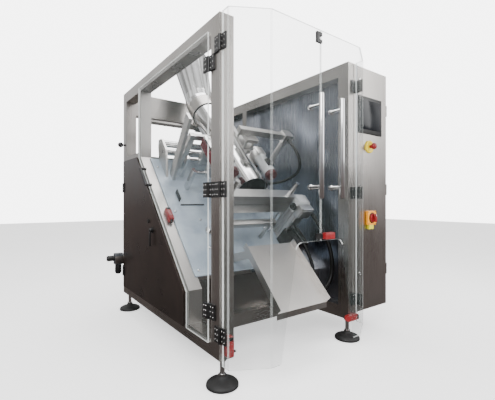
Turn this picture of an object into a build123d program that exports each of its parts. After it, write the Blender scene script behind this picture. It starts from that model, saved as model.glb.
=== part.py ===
from build123d import *
import math
import os

# Inclined form fill sealer, in millimetres.
# While modelling, X runs right from the frame's left outer face, Y runs back from its front face
# and Z runs up from the floor. The finished machine is moved to stand centred over the origin.

# Frame
FRAME_WIDTH = 1040.0
FRAME_DEPTH = 1535.0
FRAME_HEIGHT = 1650.0
FLOOR_GAP = 140.0
TUBE = 80.0
TUBE_WALL = 3.0
CAP = 3.0
FOOT_PLATE = 8.0
MEMBER_DEPTH = 60.0
SLOPE_TOP = (1107.0, 1224.0)
SLOPE_FOOT = (319.0, 406.0)
MID_RAIL_BOTTOM = 1200.0
MID_RAIL_HEIGHT = 60.0
HEADER_HEIGHT = 100.0

# Feet
PAD_RADIUS = 80.0
PAD_EDGE = 12.0
PAD_NECK_RADIUS = 20.0
PAD_HEIGHT = 60.0
SPINDLE_RADIUS = 12.0
SPINDLE_REACH = 30.0
NUT_FLAT = 36.0
NUT_HEIGHT = 18.0
THREAD_CLEARANCE = 0.1

# Sheet covers
SHEET = 3.0
PAN_DEPTH = 16.0
COVER_GAP = 2.0
REAR_COVER_DEPTH = 60.0
REAR_COVER_WIDTH = 800.0
REAR_COVER_BOTTOM = 930.0
REAR_COVER_TOP = 1265.0
REAR_COVER_TAPER = 50.0
REAR_PANEL_TOP = 1290.0
SERVICE_REVEAL = 32.0
SERVICE_OVERLAP = 16.0
SERVICE_TOP = 1224.0
SERVICE_HANDLE = (825.0, 705.0)
SERVICE_HANDLE_LENGTH = 110.0
SERVICE_LOCK = (64.0, 58.0)

# Hinges
PIN_RADIUS = 3.0
RUNNING = 0.05
KNUCKLE_RADIUS = 7.0
LEAF_HEIGHT = 75.0
LEAF = 8.0
KNUCKLE_GAP = 0.5

# Clear doors
GUARD = 8.0
GUARD_INSET = 8.0
GUARD_FLANGE = 60.0
GUARD_EDGE_GAP = 9.0
GUARD_FRONT = 163.0
GUARD_BEND_X = 185.0
GUARD_BOTTOM = 119.0
MEETING_GAP = 4.0
NOTCH_TOP = 690.0
NOTCH_HALF_TOP = 172.0
NOTCH_HALF_FOOT = 278.0
NOTCH_CORNER = 45.0
GUARD_HINGE_LEVELS = (265.0, 951.0, 1640.0)
HANDLE_X = 79.0
HANDLE_RADIUS = 13.0
HANDLE_STANDOFF_RADIUS = 10.0
HANDLE_REACH = 72.0
HANDLE_BOTTOM = 907.0
HANDLE_TOP = 1430.0
HANDLE_INSET = 60.0
SIDE_OVERLAP = 20.0
SIDE_GAP = 2.0
SIDE_HINGE_LEVELS = (359.0, 951.0, 1568.0)
SERVICE_HINGE_LEVELS = (330.0, 1008.0)

# Interlock switches
SWITCH_WIDTH = 34.0
SWITCH_LENGTH = 96.0
SWITCH_DEPTH = 40.0

# Control cabinet
CABINET_WIDTH = 350.0
CABINET_DEPTH = 600.0
CABINET_BOTTOM = 170.0
CABINET_SHEET = 2.0
CABINET_DOOR_DEPTH = 20.0
CABINET_DOOR_INSET = 18.0
CABINET_DOOR_EDGE = 4.0
CABINET_HINGE_LEVELS = (420.0, 980.0, 1540.0)
SCREEN_X = (22.0, 282.0)
SCREEN_Z = (1349.0, 1597.0)
SCREEN_PROUD = 6.0
STOP_X = 141.0
STOP_Z = 1265.0
STOP_RING_RADIUS = 42.0
STOP_RADIUS = 20.0
STOP_STEM_RADIUS = 11.0
STOP_TRAVEL = 6.0
MAIN_X = 150.0
MAIN_Z = 785.0
MAIN_PLATE = 95.0
MAIN_TAB = 28.0
MAIN_HANDLE_RADIUS = 30.0
MAIN_SHAFT_RADIUS = 6.0

# Slope plate and base panel
PLATE_THICKNESS = 10.0
PLATE_LAP = 15.0
PLATE_START = 20.0
PLATE_END = 1058.0
BASE_PANEL_TOP = 440.0

# Forming set, as offset from the slope and run down it
TUBE_OFFSET = 300.0
FORM_RADIUS = 110.0
FORM_WALL = 3.0
FORM_TOP = 400.0
FORM_BOTTOM = -640.0
FUNNEL_LEAN = 66.0
FUNNEL_LENGTH = 440.0
FUNNEL_NECK = 70.0
FUNNEL_RIM_RADIUS = 150.0
FILM_GAP = 5.0
SHOULDER_AT = 375.0
SHOULDER_WALL = 3.0
SHOULDER_HALF_WIDTH = 320.0
SHOULDER_RISE = 240.0

# Tube clamp
CLAMP_U = (-114.0, -86.0)
CLAMP_WALL = 14.0
CLAMP_POST_X = 250.0
CLAMP_MOUTH = 60.0
SEAT = 0.05

# Film-pull belts
BELT_INNER_RADIUS = 35.0
BELT_THICKNESS = 4.0
BELT_WIDTH = 60.0
BELT_TUBE_GAP = 0.4
BELT_TOP = -118.0
BELT_BOTTOM = -412.0
BELT_TRAVEL = 25.0
UNIT_PLATE = 10.0
MOTOR_RADIUS = 43.0
MOTOR_LENGTH = 190.0
SLIDE_ROD_RADIUS = 12.0
SLIDE_ROD_CLEARANCE = 13.0
SLIDE_ROD_REACH = 270.0

# Cross-sealing jaws
JAW_TOP = -709.0
JAW_BOTTOM = -775.0
JAW_DEPTH = 72.0
JAW_GAP = 4.0
JAW_HALF_WIDTH = 270.0
JAW_ROD_RADIUS = 15.0
JAW_ROD_INSET = 30.0
JAW_ROD_TOP = 470.0
JAW_TRAVEL = 60.0
KNIFE_THICKNESS = 2.0
KNIFE_HALF_WIDTH = 200.0
KNIFE_TRAVEL = 14.0
KNIFE_SLOT = 3.0

# Jaw gearmotor, down the slope
DRIVE_FOOT = -860.0
DRIVE_PLUG = -770.0

# Back-seam sealer
SEALER_BAR_X = 30.0
SEALER_BAR_TOP = -70.0
SEALER_BAR_BOTTOM = -430.0
SEALER_BAR_DEPTH = 25.0
SEALER_TRAVEL = 28.0
SEALER_BEAM_OFFSET = 545.0
SEALER_BEAM_U = -345.0
SEALER_BEAM = 40.0
SEALER_POST_ASIDE = 328.0
SEALER_POST_RADIUS = 22.0
SEALER_ELBOW = 36.0

# Film path
ROLLER_RADIUS = 25.0
ROLLER_HALF_LENGTH = 370.0
JOURNAL_RADIUS = 10.0
UPPER_ROLLER = (1060.0, 1330.0)
LOWER_ROLLER = (1008.0, 1262.0)
REEL_CENTRE = (1180.0, 640.0)
REEL_SHAFT_RADIUS = 25.0
REEL_CONE_RADIUS = 55.0
REEL_HALF_WIDTH = 260.0
REEL_STAND = 12.0

# Chute
CHUTE_OFFSET = 183.0
CHUTE_HALF_WIDTH = 192.0
CHUTE_TOP = (270.0, 625.0)
CHUTE_END_Y = -35.0
CHUTE_LIP = 33.0
CHUTE_SIDE = 40.0

# Services
AIR_BODY = (68.0, 60.0, 150.0)
AIR_BOTTOM = 290.0
AIR_BRACKET = 4.0
AIR_KNOB_RADIUS = 23.0
AIR_KNOB_LENGTH = 58.0
BALL_RADIUS = 21.0
BALL_STALK = 15.0
BALL_STALK_RADIUS = 7.0
BALL_Z = 1362.0
GLAND_LENGTH = 24.0
GLAND_WALL = 5.0

# Worked out from the sizes above
FRAME_TOP = FLOOR_GAP + FRAME_HEIGHT
RAIL_TOP = FLOOR_GAP + TUBE
TOP_RAIL_BOTTOM = FRAME_TOP - TUBE
MIDDLE = FRAME_WIDTH / 2
TUBE_AXIS_X = MIDDLE
BACK_RAIL = FRAME_DEPTH - TUBE
SLOPE_ANGLE = math.atan2(SLOPE_TOP[1] - SLOPE_FOOT[1], SLOPE_TOP[0] - SLOPE_FOOT[0])
COS, SIN = math.cos(SLOPE_ANGLE), math.sin(SLOPE_ANGLE)
SLOPE = Plane(origin=(0, *SLOPE_TOP), x_dir=(1, 0, 0), z_dir=(0, -SIN, COS))
CABINET_RIGHT = FRAME_WIDTH + CABINET_WIDTH
CABINET_TOP = FRAME_TOP
SERVICE_FACE = -COVER_GAP - PAN_DEPTH
AIR_Y = FRAME_DEPTH + AIR_BRACKET
LEFT_HINGE = (-6.0, -10.0)
RIGHT_HINGE = (FRAME_WIDTH + 6.0, -10.0)
SIDE_HINGE = (-9.0, TUBE + 8.0)
SERVICE_HINGE = (-13.0, BACK_RAIL + 34.0)
CABINET_HINGE = (CABINET_RIGHT + 5.0, 5.0)
BELT_REACH = BELT_INNER_RADIUS + BELT_THICKNESS
BELT_AXIS = FORM_RADIUS + BELT_TUBE_GAP + BELT_REACH
PULLEY_LEVELS = (BELT_TOP - BELT_REACH, BELT_BOTTOM + BELT_REACH)
SLIDE_ROD_OFFSET = TUBE_OFFSET - FORM_RADIUS - SLIDE_ROD_CLEARANCE - SLIDE_ROD_RADIUS
JAW_X = (MIDDLE - JAW_HALF_WIDTH, MIDDLE + JAW_HALF_WIDTH)
KNIFE_X = (MIDDLE - KNIFE_HALF_WIDTH, MIDDLE + KNIFE_HALF_WIDTH)
ROLLER_X = (MIDDLE - ROLLER_HALF_LENGTH, MIDDLE + ROLLER_HALF_LENGTH)
SEALER_POST_X = MIDDLE + SEALER_POST_ASIDE
JAW_ROD_X = (JAW_X[0] + JAW_ROD_INSET, JAW_X[1] - JAW_ROD_INSET)
FRONT_JAW = (TUBE_OFFSET + JAW_GAP / 2, TUBE_OFFSET + JAW_GAP / 2 + JAW_DEPTH)
REAR_JAW = (TUBE_OFFSET - JAW_GAP / 2 - JAW_DEPTH, TUBE_OFFSET - JAW_GAP / 2)


def block(x, y, z):
    """A box between two values along each axis."""
    size = [high - low for low, high in (x, y, z)]
    middle = [(low + high) / 2 for low, high in (x, y, z)]
    return Pos(*middle) * Box(*size)


def rod(start, end, radius):
    """A round bar between two points."""
    axis = Vector(*end) - Vector(*start)
    base = Plane(origin=start, z_dir=axis)
    return base * Cylinder(radius, axis.length, align=(Align.CENTER, Align.CENTER, Align.MIN))


def cone(start, end, start_radius, end_radius):
    """A round taper between two points."""
    axis = Vector(*end) - Vector(*start)
    base = Plane(origin=start, z_dir=axis)
    lowest = (Align.CENTER, Align.CENTER, Align.MIN)
    return base * Cone(start_radius, end_radius, axis.length, align=lowest)


def side_profile(points, x):
    """An outline in Y and Z, drawn out along X."""
    outline = Plane.YZ * make_face(Polyline(*points, close=True))
    return Pos(x[0], 0, 0) * extrude(outline, x[1] - x[0])


def plan_profile(points, z):
    """An outline in X and Y, drawn out along Z."""
    return Pos(0, 0, z[0]) * extrude(make_face(Polyline(*points, close=True)), z[1] - z[0])


def offset_path(points, distance):
    """The path moved to its left by a distance, with mitred corners."""
    moved = []
    for index, (a, b) in enumerate(points):
        before = points[max(index - 1, 0)]
        after = points[min(index + 1, len(points) - 1)]
        into = math.atan2(b - before[1], a - before[0]) if index else None
        out = math.atan2(after[1] - b, after[0] - a) if index < len(points) - 1 else None
        into, out = (out if into is None else into), (into if out is None else out)
        half = (out - into) / 2
        angle = into + half + math.pi / 2
        reach = distance / math.cos(half)
        moved.append((a + reach * math.cos(angle), b + reach * math.sin(angle)))
    return moved


def strip(points, thickness):
    """The closed outline of a bent strip to the left of a path."""
    return points + offset_path(points, thickness)[::-1]


def mirrored(shape):
    """The same piece on the other side of the machine's middle."""
    return shape.mirror(Plane(origin=(MIDDLE, 0, 0), z_dir=(1, 0, 0)))


def joined(pieces):
    """Separate solids kept together in one node."""
    solids = []
    for piece in pieces:
        solids += piece.solids()
    return Compound(solids)


def square_tube(x, y, z, axis):
    """A hollow square tube, open at both ends of its long axis."""
    inner = [(low + TUBE_WALL, high - TUBE_WALL) for low, high in (x, y, z)]
    inner[axis] = ((x, y, z)[axis][0] - 1, (x, y, z)[axis][1] + 1)
    return block(x, y, z) - block(*inner)


# ---------------------------------------------------------------- frame and feet

def post_corners():
    ends_x = ((0, TUBE), (FRAME_WIDTH - TUBE, FRAME_WIDTH))
    ends_y = ((0, TUBE), (BACK_RAIL, FRAME_DEPTH))
    return [(x, y) for x in ends_x for y in ends_y]


def corner_posts():
    """Square posts, each closed by a cap above and a plate for its foot below."""
    pieces = []
    for x, y in post_corners():
        centre = ((x[0] + x[1]) / 2, (y[0] + y[1]) / 2)
        post = square_tube(x, y, (FLOOR_GAP, FRAME_TOP - CAP), 2)
        post += block(x, y, (FRAME_TOP - CAP, FRAME_TOP))
        post += block(x, y, (FLOOR_GAP, FLOOR_GAP + FOOT_PLATE))
        hole = rod((*centre, 0), (*centre, FLOOR_GAP + TUBE), SPINDLE_RADIUS + THREAD_CLEARANCE)
        pieces.append(post - hole)
    return joined(pieces)


def frame_rails():
    """Side rails, back rails, the cross rail under the slope and the tall rear header."""
    pieces = []
    for x in ((0, TUBE), (FRAME_WIDTH - TUBE, FRAME_WIDTH)):
        for z in ((FLOOR_GAP, RAIL_TOP), (TOP_RAIL_BOTTOM, FRAME_TOP)):
            pieces.append(square_tube(x, (TUBE, BACK_RAIL), z, 1))
        rear = SLOPE_TOP[0] + MEMBER_DEPTH
        level = (MID_RAIL_BOTTOM, MID_RAIL_BOTTOM + MID_RAIL_HEIGHT)
        pieces.append(square_tube(x, (rear, BACK_RAIL), level, 1))
    across = (TUBE, FRAME_WIDTH - TUBE)
    back = (BACK_RAIL, FRAME_DEPTH)
    pieces.append(square_tube(across, back, (FLOOR_GAP, RAIL_TOP), 0))
    header = square_tube(across, back, (TOP_RAIL_BOTTOM - HEADER_HEIGHT, TOP_RAIL_BOTTOM), 0)
    pieces.append(square_tube(across, back, (TOP_RAIL_BOTTOM, FRAME_TOP), 0) + header)
    foot = (SLOPE_FOOT[0], SLOPE_FOOT[0] + MEMBER_DEPTH)
    pieces.append(square_tube(across, foot, (FLOOR_GAP, RAIL_TOP), 0))
    return joined(pieces)


def member_path(bottom, top):
    return [(SLOPE_FOOT[0], bottom), SLOPE_FOOT, SLOPE_TOP, (SLOPE_TOP[0], top)]


def slant_members():
    """The two bent tubes that carry the slope plate, from bottom rail to top rail."""
    outer = member_path(RAIL_TOP, TOP_RAIL_BOTTOM)
    inner = offset_path(member_path(RAIL_TOP - 1, TOP_RAIL_BOTTOM + 1), -TUBE_WALL)
    skin = side_profile(strip(outer, -MEMBER_DEPTH), (0, TUBE))
    hollow = strip(inner, -(MEMBER_DEPTH - 2 * TUBE_WALL))
    skin -= side_profile(hollow, (TUBE_WALL, TUBE - TUBE_WALL))
    return joined([skin, mirrored(skin)])


def foot_pads():
    profile = [(0, 0), (PAD_RADIUS, 0), (PAD_RADIUS, PAD_EDGE), (PAD_NECK_RADIUS + 12, PAD_HEIGHT - 16),
               (PAD_NECK_RADIUS, PAD_HEIGHT - 12), (PAD_NECK_RADIUS, PAD_HEIGHT), (0, PAD_HEIGHT)]
    pad = revolve(Plane.XZ * make_face(Polyline(*profile, close=True)), Axis.Z)
    return joined([Pos(sum(x) / 2, sum(y) / 2, 0) * pad for x, y in post_corners()])


def foot_spindles():
    """A threaded spindle and its lock nut at each foot."""
    spindle = rod((0, 0, PAD_HEIGHT), (0, 0, FLOOR_GAP + SPINDLE_REACH), SPINDLE_RADIUS)
    nut = extrude(RegularPolygon(NUT_FLAT / 2, 6, major_radius=False), NUT_HEIGHT)
    nut = Pos(0, 0, FLOOR_GAP - NUT_HEIGHT) * nut
    nut -= rod((0, 0, 0), (0, 0, FRAME_TOP), SPINDLE_RADIUS + THREAD_CLEARANCE)
    pieces = []
    for x, y in post_corners():
        place = Pos(sum(x) / 2, sum(y) / 2, 0)
        pieces += [place * spindle, place * nut]
    return joined(pieces)


# ---------------------------------------------------------------- covers

def frame_panels():
    """The rear panel between the back posts and the base panel under the slope plate."""
    across = (TUBE, FRAME_WIDTH - TUBE)
    rear = block(across, (FRAME_DEPTH - SHEET, FRAME_DEPTH), (RAIL_TOP, REAR_PANEL_TOP))
    front = SLOPE_FOOT[0] + MEMBER_DEPTH - SHEET
    base = block(across, (front, front + SHEET), (RAIL_TOP, BASE_PANEL_TOP))
    for x in (TUBE + 60, FRAME_WIDTH - TUBE - 60):
        base -= rod((x, front - 1, RAIL_TOP + 60), (x, front + SHEET + 1, RAIL_TOP + 60), 6)
    return joined([rear, base])


def rear_cover():
    """A shallow box on the back, tapered in towards its lower edge."""
    outer = [(FRAME_DEPTH, REAR_COVER_BOTTOM), (FRAME_DEPTH, REAR_COVER_TOP),
             (FRAME_DEPTH + REAR_COVER_DEPTH, REAR_COVER_TOP),
             (FRAME_DEPTH + REAR_COVER_DEPTH, REAR_COVER_BOTTOM + REAR_COVER_TAPER)]
    low, high = MIDDLE - REAR_COVER_WIDTH / 2, MIDDLE + REAR_COVER_WIDTH / 2
    lean = REAR_COVER_TAPER / REAR_COVER_DEPTH
    inner = [(FRAME_DEPTH - 1, REAR_COVER_BOTTOM + SHEET + SHEET * lean),
             (FRAME_DEPTH - 1, REAR_COVER_TOP - SHEET),
             (FRAME_DEPTH + REAR_COVER_DEPTH - SHEET, REAR_COVER_TOP - SHEET),
             (FRAME_DEPTH + REAR_COVER_DEPTH - SHEET, REAR_COVER_BOTTOM + REAR_COVER_TAPER + SHEET)]
    return side_profile(outer, (low, high)) - side_profile(inner, (low + SHEET, high - SHEET))


def right_side_wall():
    """The sheet on the frame's right face behind the cabinet."""
    y = (CABINET_DEPTH + COVER_GAP, FRAME_DEPTH - SERVICE_OVERLAP)
    return block((FRAME_WIDTH, FRAME_WIDTH + SHEET), y, (FLOOR_GAP + 30, FRAME_TOP - 30))


def service_outline(inset):
    """The service door's outline in Y and Z, drawn in by an inset."""
    front = SLOPE_FOOT[0] + SERVICE_REVEAL + inset
    back = SERVICE_HINGE[1] - KNUCKLE_RADIUS - 2 - inset
    bottom = RAIL_TOP - SERVICE_OVERLAP + inset
    top = SERVICE_TOP - inset
    drop = (SERVICE_REVEAL + inset) / COS
    rise = math.tan(SLOPE_ANGLE)
    knee = SLOPE_FOOT[1] + (front - SLOPE_FOOT[0]) * rise - drop
    shoulder = SLOPE_FOOT[0] + (top + drop - SLOPE_FOOT[1]) / rise
    return [(front, bottom), (back, bottom), (back, top), (shoulder, top), (front, knee)]


def service_door_panel():
    x = (-COVER_GAP - PAN_DEPTH, -COVER_GAP)
    pan = side_profile(service_outline(0), x)
    return pan - side_profile(service_outline(SHEET), (x[0] + SHEET, x[1] + 1))


def service_handle():
    """The swing handle: a boss on its spindle and a lever that hangs along the door."""
    face = SERVICE_FACE - 6.3
    y, z = SERVICE_HANDLE
    boss = rod((face, y, z), (face - 16, y, z), 14)
    lever = block((face - 16, face - 6), (y - 9, y + 9), (z - SERVICE_HANDLE_LENGTH, z))
    return boss + lever


def service_door_fittings():
    """Moving hinge leaves, the handle's rose and the key lock."""
    y, z = SERVICE_HANDLE
    rose = rod((SERVICE_FACE, y, z), (SERVICE_FACE - 6, y, z), 20)
    y, z = y + SERVICE_LOCK[0], z + SERVICE_LOCK[1]
    lock = rod((SERVICE_FACE, y, z), (SERVICE_FACE - 9, y, z), 13)
    leaf = (SERVICE_FACE - LEAF + 2, SERVICE_FACE), (SERVICE_HINGE[1] - 44, SERVICE_HINGE[1] - 3)
    return joined([rose, lock] + hinge_leaves(SERVICE_HINGE, leaf, SERVICE_HINGE_LEVELS, 1))


# ---------------------------------------------------------------- hinges

def knuckle_spans(level):
    """The lower, middle and upper knuckle of one hinge, as pairs of Z values."""
    bottom = level - LEAF_HEIGHT / 2
    third = LEAF_HEIGHT / 3
    return [(bottom + third * i, bottom + third * (i + 1)) for i in range(3)]


def hinge_leaves(axis, leaf, levels, middle, radius=KNUCKLE_RADIUS):
    """One side of each hinge: the leaf and either its middle knuckle or its outer pair."""
    pieces = []
    for level in levels:
        spans = knuckle_spans(level)
        own = [spans[1]] if middle else [spans[0], spans[2]]
        others = [spans[0], spans[2]] if middle else [spans[1]]
        side = block(*leaf, (spans[0][0], spans[2][1]))
        for low, high in others:
            side -= rod((*axis, low - KNUCKLE_GAP), (*axis, high + KNUCKLE_GAP), radius + KNUCKLE_GAP)
        for low, high in own:
            side += rod((*axis, low), (*axis, high), radius)
        clearance = RUNNING if middle else THREAD_CLEARANCE / 2
        side -= rod((*axis, 0), (*axis, FRAME_TOP), PIN_RADIUS + clearance)
        pieces.append(side)
    return pieces


def hinge_pins(axis, levels):
    return [rod((*axis, level - LEAF_HEIGHT / 2), (*axis, level + LEAF_HEIGHT / 2), PIN_RADIUS)
            for level in levels]


def fixed_hinges():
    """Leaves screwed to the frame and the cabinet, with the pins that they hold."""
    left = (-LEAF, 0), (LEFT_HINGE[1] + 2, 36)
    right = (FRAME_WIDTH - 55, FRAME_WIDTH + 6), (-6, 0)
    side = (-LEAF, 0), (40, SIDE_HINGE[1] - 4)
    service = (-LEAF, 0), (SERVICE_HINGE[1] + 1, FRAME_DEPTH - 2)
    cabinet = (CABINET_RIGHT, CABINET_RIGHT + 4), (CABINET_HINGE[1] + 4, 50)
    pieces = hinge_leaves(LEFT_HINGE, left, GUARD_HINGE_LEVELS, 0)
    pieces += hinge_leaves(RIGHT_HINGE, right, GUARD_HINGE_LEVELS, 0)
    pieces += hinge_leaves(SIDE_HINGE, side, SIDE_HINGE_LEVELS, 0)
    pieces += hinge_leaves(SERVICE_HINGE, service, SERVICE_HINGE_LEVELS, 0)
    pieces += hinge_leaves(CABINET_HINGE, cabinet, CABINET_HINGE_LEVELS, 0, 5)
    for axis, levels in ((LEFT_HINGE, GUARD_HINGE_LEVELS), (RIGHT_HINGE, GUARD_HINGE_LEVELS),
                         (SIDE_HINGE, SIDE_HINGE_LEVELS), (SERVICE_HINGE, SERVICE_HINGE_LEVELS),
                         (CABINET_HINGE, CABINET_HINGE_LEVELS)):
        pieces += hinge_pins(axis, levels)
    return joined(pieces)


# ---------------------------------------------------------------- clear guard doors

def left_door_panel():
    """A bent clear sheet with a cut-away for the bags at its free lower corner."""
    path = [(GUARD_INSET, -GUARD_EDGE_GAP), (GUARD_INSET, -GUARD_FLANGE),
            (GUARD_BEND_X, -GUARD_FRONT), (MIDDLE - MEETING_GAP / 2, -GUARD_FRONT)]
    sheet = plan_profile(strip(path, GUARD), (GUARD_BOTTOM, FRAME_TOP))
    corner = (MIDDLE - NOTCH_HALF_TOP, NOTCH_TOP)
    cut = [(MIDDLE + 9, NOTCH_TOP), corner, (MIDDLE - NOTCH_HALF_FOOT, GUARD_BOTTOM - 1),
           (MIDDLE + 9, GUARD_BOTTOM - 1)]
    notch = make_face(Polyline(*cut, close=True))
    rounded = [v for v in notch.vertices() if abs(v.X - corner[0]) < 1 and abs(v.Y - corner[1]) < 1]
    notch = Plane.XZ * fillet(rounded, NOTCH_CORNER)
    return sheet - Pos(0, 1, 0) * extrude(notch, GUARD_FRONT + 2)


def left_door_handle():
    """A polished bar on two standoffs, each on a round foot."""
    x, face = MIDDLE - HANDLE_X, -GUARD_FRONT
    bar_y = face - HANDLE_REACH
    handle = rod((x, bar_y, HANDLE_BOTTOM), (x, bar_y, HANDLE_TOP), HANDLE_RADIUS)
    for z in (HANDLE_BOTTOM + HANDLE_INSET, HANDLE_TOP - HANDLE_INSET):
        handle += rod((x, bar_y, z), (x, face, z), HANDLE_STANDOFF_RADIUS)
        handle += rod((x, face - 4, z), (x, face, z), HANDLE_STANDOFF_RADIUS + 5)
    return handle


def left_door_fittings():
    """Moving hinge leaves, the stop bracket at the top and the interlock key."""
    leaf = (GUARD_INSET - LEAF, GUARD_INSET), (-50, LEFT_HINGE[1] - 2)
    edge = MIDDLE - MEETING_GAP / 2
    stop = block((edge - 40, edge - 2), (-GUARD_FRONT - 12, -GUARD_FRONT), (1715, 1770))
    stop -= block((edge - 20, edge), (-GUARD_FRONT - 13, -GUARD_FRONT + 1), (1732, 1752))
    key = block((edge - 46, edge - 2), (-GUARD_FRONT - 14, -GUARD_FRONT), (700, 730))
    return joined(hinge_leaves(LEFT_HINGE, leaf, GUARD_HINGE_LEVELS, 1) + [stop, key])


def right_door_fittings():
    """Moving hinge leaves and the interlock switch."""
    leaf = (FRAME_WIDTH - GUARD_INSET, FRAME_WIDTH + 2), (-50, RIGHT_HINGE[1] - 2)
    edge = MIDDLE + MEETING_GAP / 2
    switch = block((edge + 3, edge + 3 + SWITCH_LENGTH * 0.75), (-GUARD_FRONT - 28, -GUARD_FRONT),
                   (NOTCH_TOP + 8, NOTCH_TOP + 8 + SWITCH_WIDTH))
    return joined(hinge_leaves(RIGHT_HINGE, leaf, GUARD_HINGE_LEVELS, 1) + [switch])


def side_door_panel():
    """The flat clear sheet in the left side, cut to the slope."""
    front = SIDE_HINGE[1] + 9
    path = member_path(RAIL_TOP - SIDE_OVERLAP, TOP_RAIL_BOTTOM + SIDE_OVERLAP)
    rear = offset_path(path, -SIDE_OVERLAP)
    outline = [(front, rear[0][1])] + rear + [(front, rear[-1][1])]
    return side_profile(outline, (-SIDE_GAP - GUARD, -SIDE_GAP))


def side_door_fittings():
    """Moving hinge leaves and a bow handle near the sloping edge."""
    face = -SIDE_GAP - GUARD
    leaf = (face - LEAF, face), (SIDE_HINGE[1] + 3, SIDE_HINGE[1] + 40)
    pieces = hinge_leaves(SIDE_HINGE, leaf, SIDE_HINGE_LEVELS, 1)
    low, high = handle_point(-330), handle_point(-170)
    reach = 40
    bow = rod((face - reach, *low), (face - reach, *high), 9)
    for y, z in (low, high):
        bow += rod((face, y, z), (face - reach, y, z), 9)
        bow += Pos(face - reach, y, z) * Sphere(9)
    return joined(pieces + [bow])


def handle_point(along):
    """A point in the side door, a little above its sloping edge."""
    return SLOPE_TOP[0] + along * COS - 30 * SIN, SLOPE_TOP[1] + along * SIN + 30 * COS


def frame_switches():
    """Red interlock switches on the left member, the left post and the right post."""
    along = SLOPE * block((24, 24 + SWITCH_WIDTH), (-640, -640 + SWITCH_LENGTH), (0, SWITCH_DEPTH))
    upright = block((24, 24 + SWITCH_WIDTH), (-SWITCH_DEPTH, 0), (162, 162 + SWITCH_LENGTH))
    right = FRAME_WIDTH - 22
    lying = block((right - SWITCH_LENGTH, right), (-SWITCH_DEPTH, 0), (142, 142 + SWITCH_WIDTH))
    return joined([along, upright, lying])


# ---------------------------------------------------------------- control cabinet

def cabinet_shell():
    """Side, top, bottom and back sheets, with a narrow rebate strip round the front."""
    x = (FRAME_WIDTH, CABINET_RIGHT)
    z = (CABINET_BOTTOM, CABINET_TOP)
    front = CABINET_DOOR_DEPTH + 4
    t = CABINET_SHEET
    inner = (x[0] + t, x[1] - t)
    pieces = [block((x[0], x[0] + t), (0, CABINET_DEPTH), z),
              block((x[1] - t, x[1]), (front, CABINET_DEPTH), z)]
    for level in ((z[0], z[0] + t), (z[1] - t, z[1])):
        pieces.append(block(inner, (front, CABINET_DEPTH), level))
    upright = (z[0] + t, z[1] - t)
    pieces.append(block(inner, (CABINET_DEPTH - t, CABINET_DEPTH), upright))
    pieces.append(block((x[0] + t, x[0] + CABINET_DOOR_INSET - 2), (0, t), z))
    return joined(pieces)


def cabinet_gear():
    """A mounting plate with drives and terminal rows."""
    back = CABINET_DEPTH - CABINET_SHEET
    x = (FRAME_WIDTH + 30, CABINET_RIGHT - 30)
    pieces = [block(x, (back - 33, back - 30), (CABINET_BOTTOM + 60, CABINET_TOP - 60))]
    for corner_x in (x[0] + 15, x[1] - 15):
        for z in (CABINET_BOTTOM + 90, CABINET_TOP - 90):
            pieces.append(rod((corner_x, back - 30, z), (corner_x, back, z), 8))
    for index in range(3):
        low = x[0] + 12 + index * 90
        pieces.append(block((low, low + 80), (back - 213, back - 33), (1180, 1440)))
    for level in (520.0, 760.0, 1000.0):
        pieces.append(block((x[0] + 15, x[1] - 15), (back - 93, back - 33), (level, level + 90)))
    return joined(pieces)


def cabinet_door():
    """A folded pan door with its own hinge leaves."""
    x = (FRAME_WIDTH + CABINET_DOOR_INSET, CABINET_RIGHT - CABINET_DOOR_EDGE)
    z = (CABINET_BOTTOM + 4, CABINET_TOP - 4)
    t = CABINET_SHEET
    pan = block(x, (0, CABINET_DOOR_DEPTH), z)
    pan -= block((x[0] + t, x[1] - t), (t, CABINET_DOOR_DEPTH + 1), (z[0] + t, z[1] - t))
    stop = (FRAME_WIDTH + STOP_X, STOP_Z)
    main = (FRAME_WIDTH + MAIN_X, MAIN_Z)
    pan -= rod((stop[0], -1, stop[1]), (stop[0], t + 1, stop[1]), STOP_STEM_RADIUS + 0.5)
    pan -= rod((main[0], -1, main[1]), (main[0], t + 1, main[1]), MAIN_SHAFT_RADIUS + 0.5)
    leaf = (x[1], CABINET_HINGE[0] - 2), (CABINET_HINGE[1] - 4, CABINET_HINGE[1])
    return joined([pan] + hinge_leaves(CABINET_HINGE, leaf, CABINET_HINGE_LEVELS, 1, 5))


def screen():
    """The operator panel: a thin bezel with a dark glass face."""
    x = (FRAME_WIDTH + SCREEN_X[0], FRAME_WIDTH + SCREEN_X[1])
    return block(x, (-SCREEN_PROUD, 0), SCREEN_Z)


def control_plates():
    """The emergency stop's ring and the main switch's plate with its lower tab."""
    stop = (FRAME_WIDTH + STOP_X, STOP_Z)
    ring = rod((stop[0], -12, stop[1]), (stop[0], 0, stop[1]), STOP_RING_RADIUS)
    ring -= rod((stop[0], -13, stop[1]), (stop[0], 1, stop[1]), STOP_STEM_RADIUS + 0.5)
    x, z = FRAME_WIDTH + MAIN_X, MAIN_Z
    half = MAIN_PLATE / 2
    plate = block((x - half, x + half), (-20, 0), (z - half, z + half))
    plate += block((x - half * 0.7, x + half * 0.4), (-20, 0), (z - half - MAIN_TAB, z - half))
    plate -= rod((x, -21, z), (x, 1, z), MAIN_SHAFT_RADIUS + 0.5)
    return joined([ring, plate])


def stop_button():
    x, z = FRAME_WIDTH + STOP_X, STOP_Z
    stem = rod((x, 10, z), (x, -12 - STOP_TRAVEL - 1, z), STOP_STEM_RADIUS)
    head = rod((x, -12 - STOP_TRAVEL - 1, z), (x, -44, z), STOP_RADIUS)
    return stem + fillet(head.edges().sort_by(Axis.Y)[0], 5)


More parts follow.
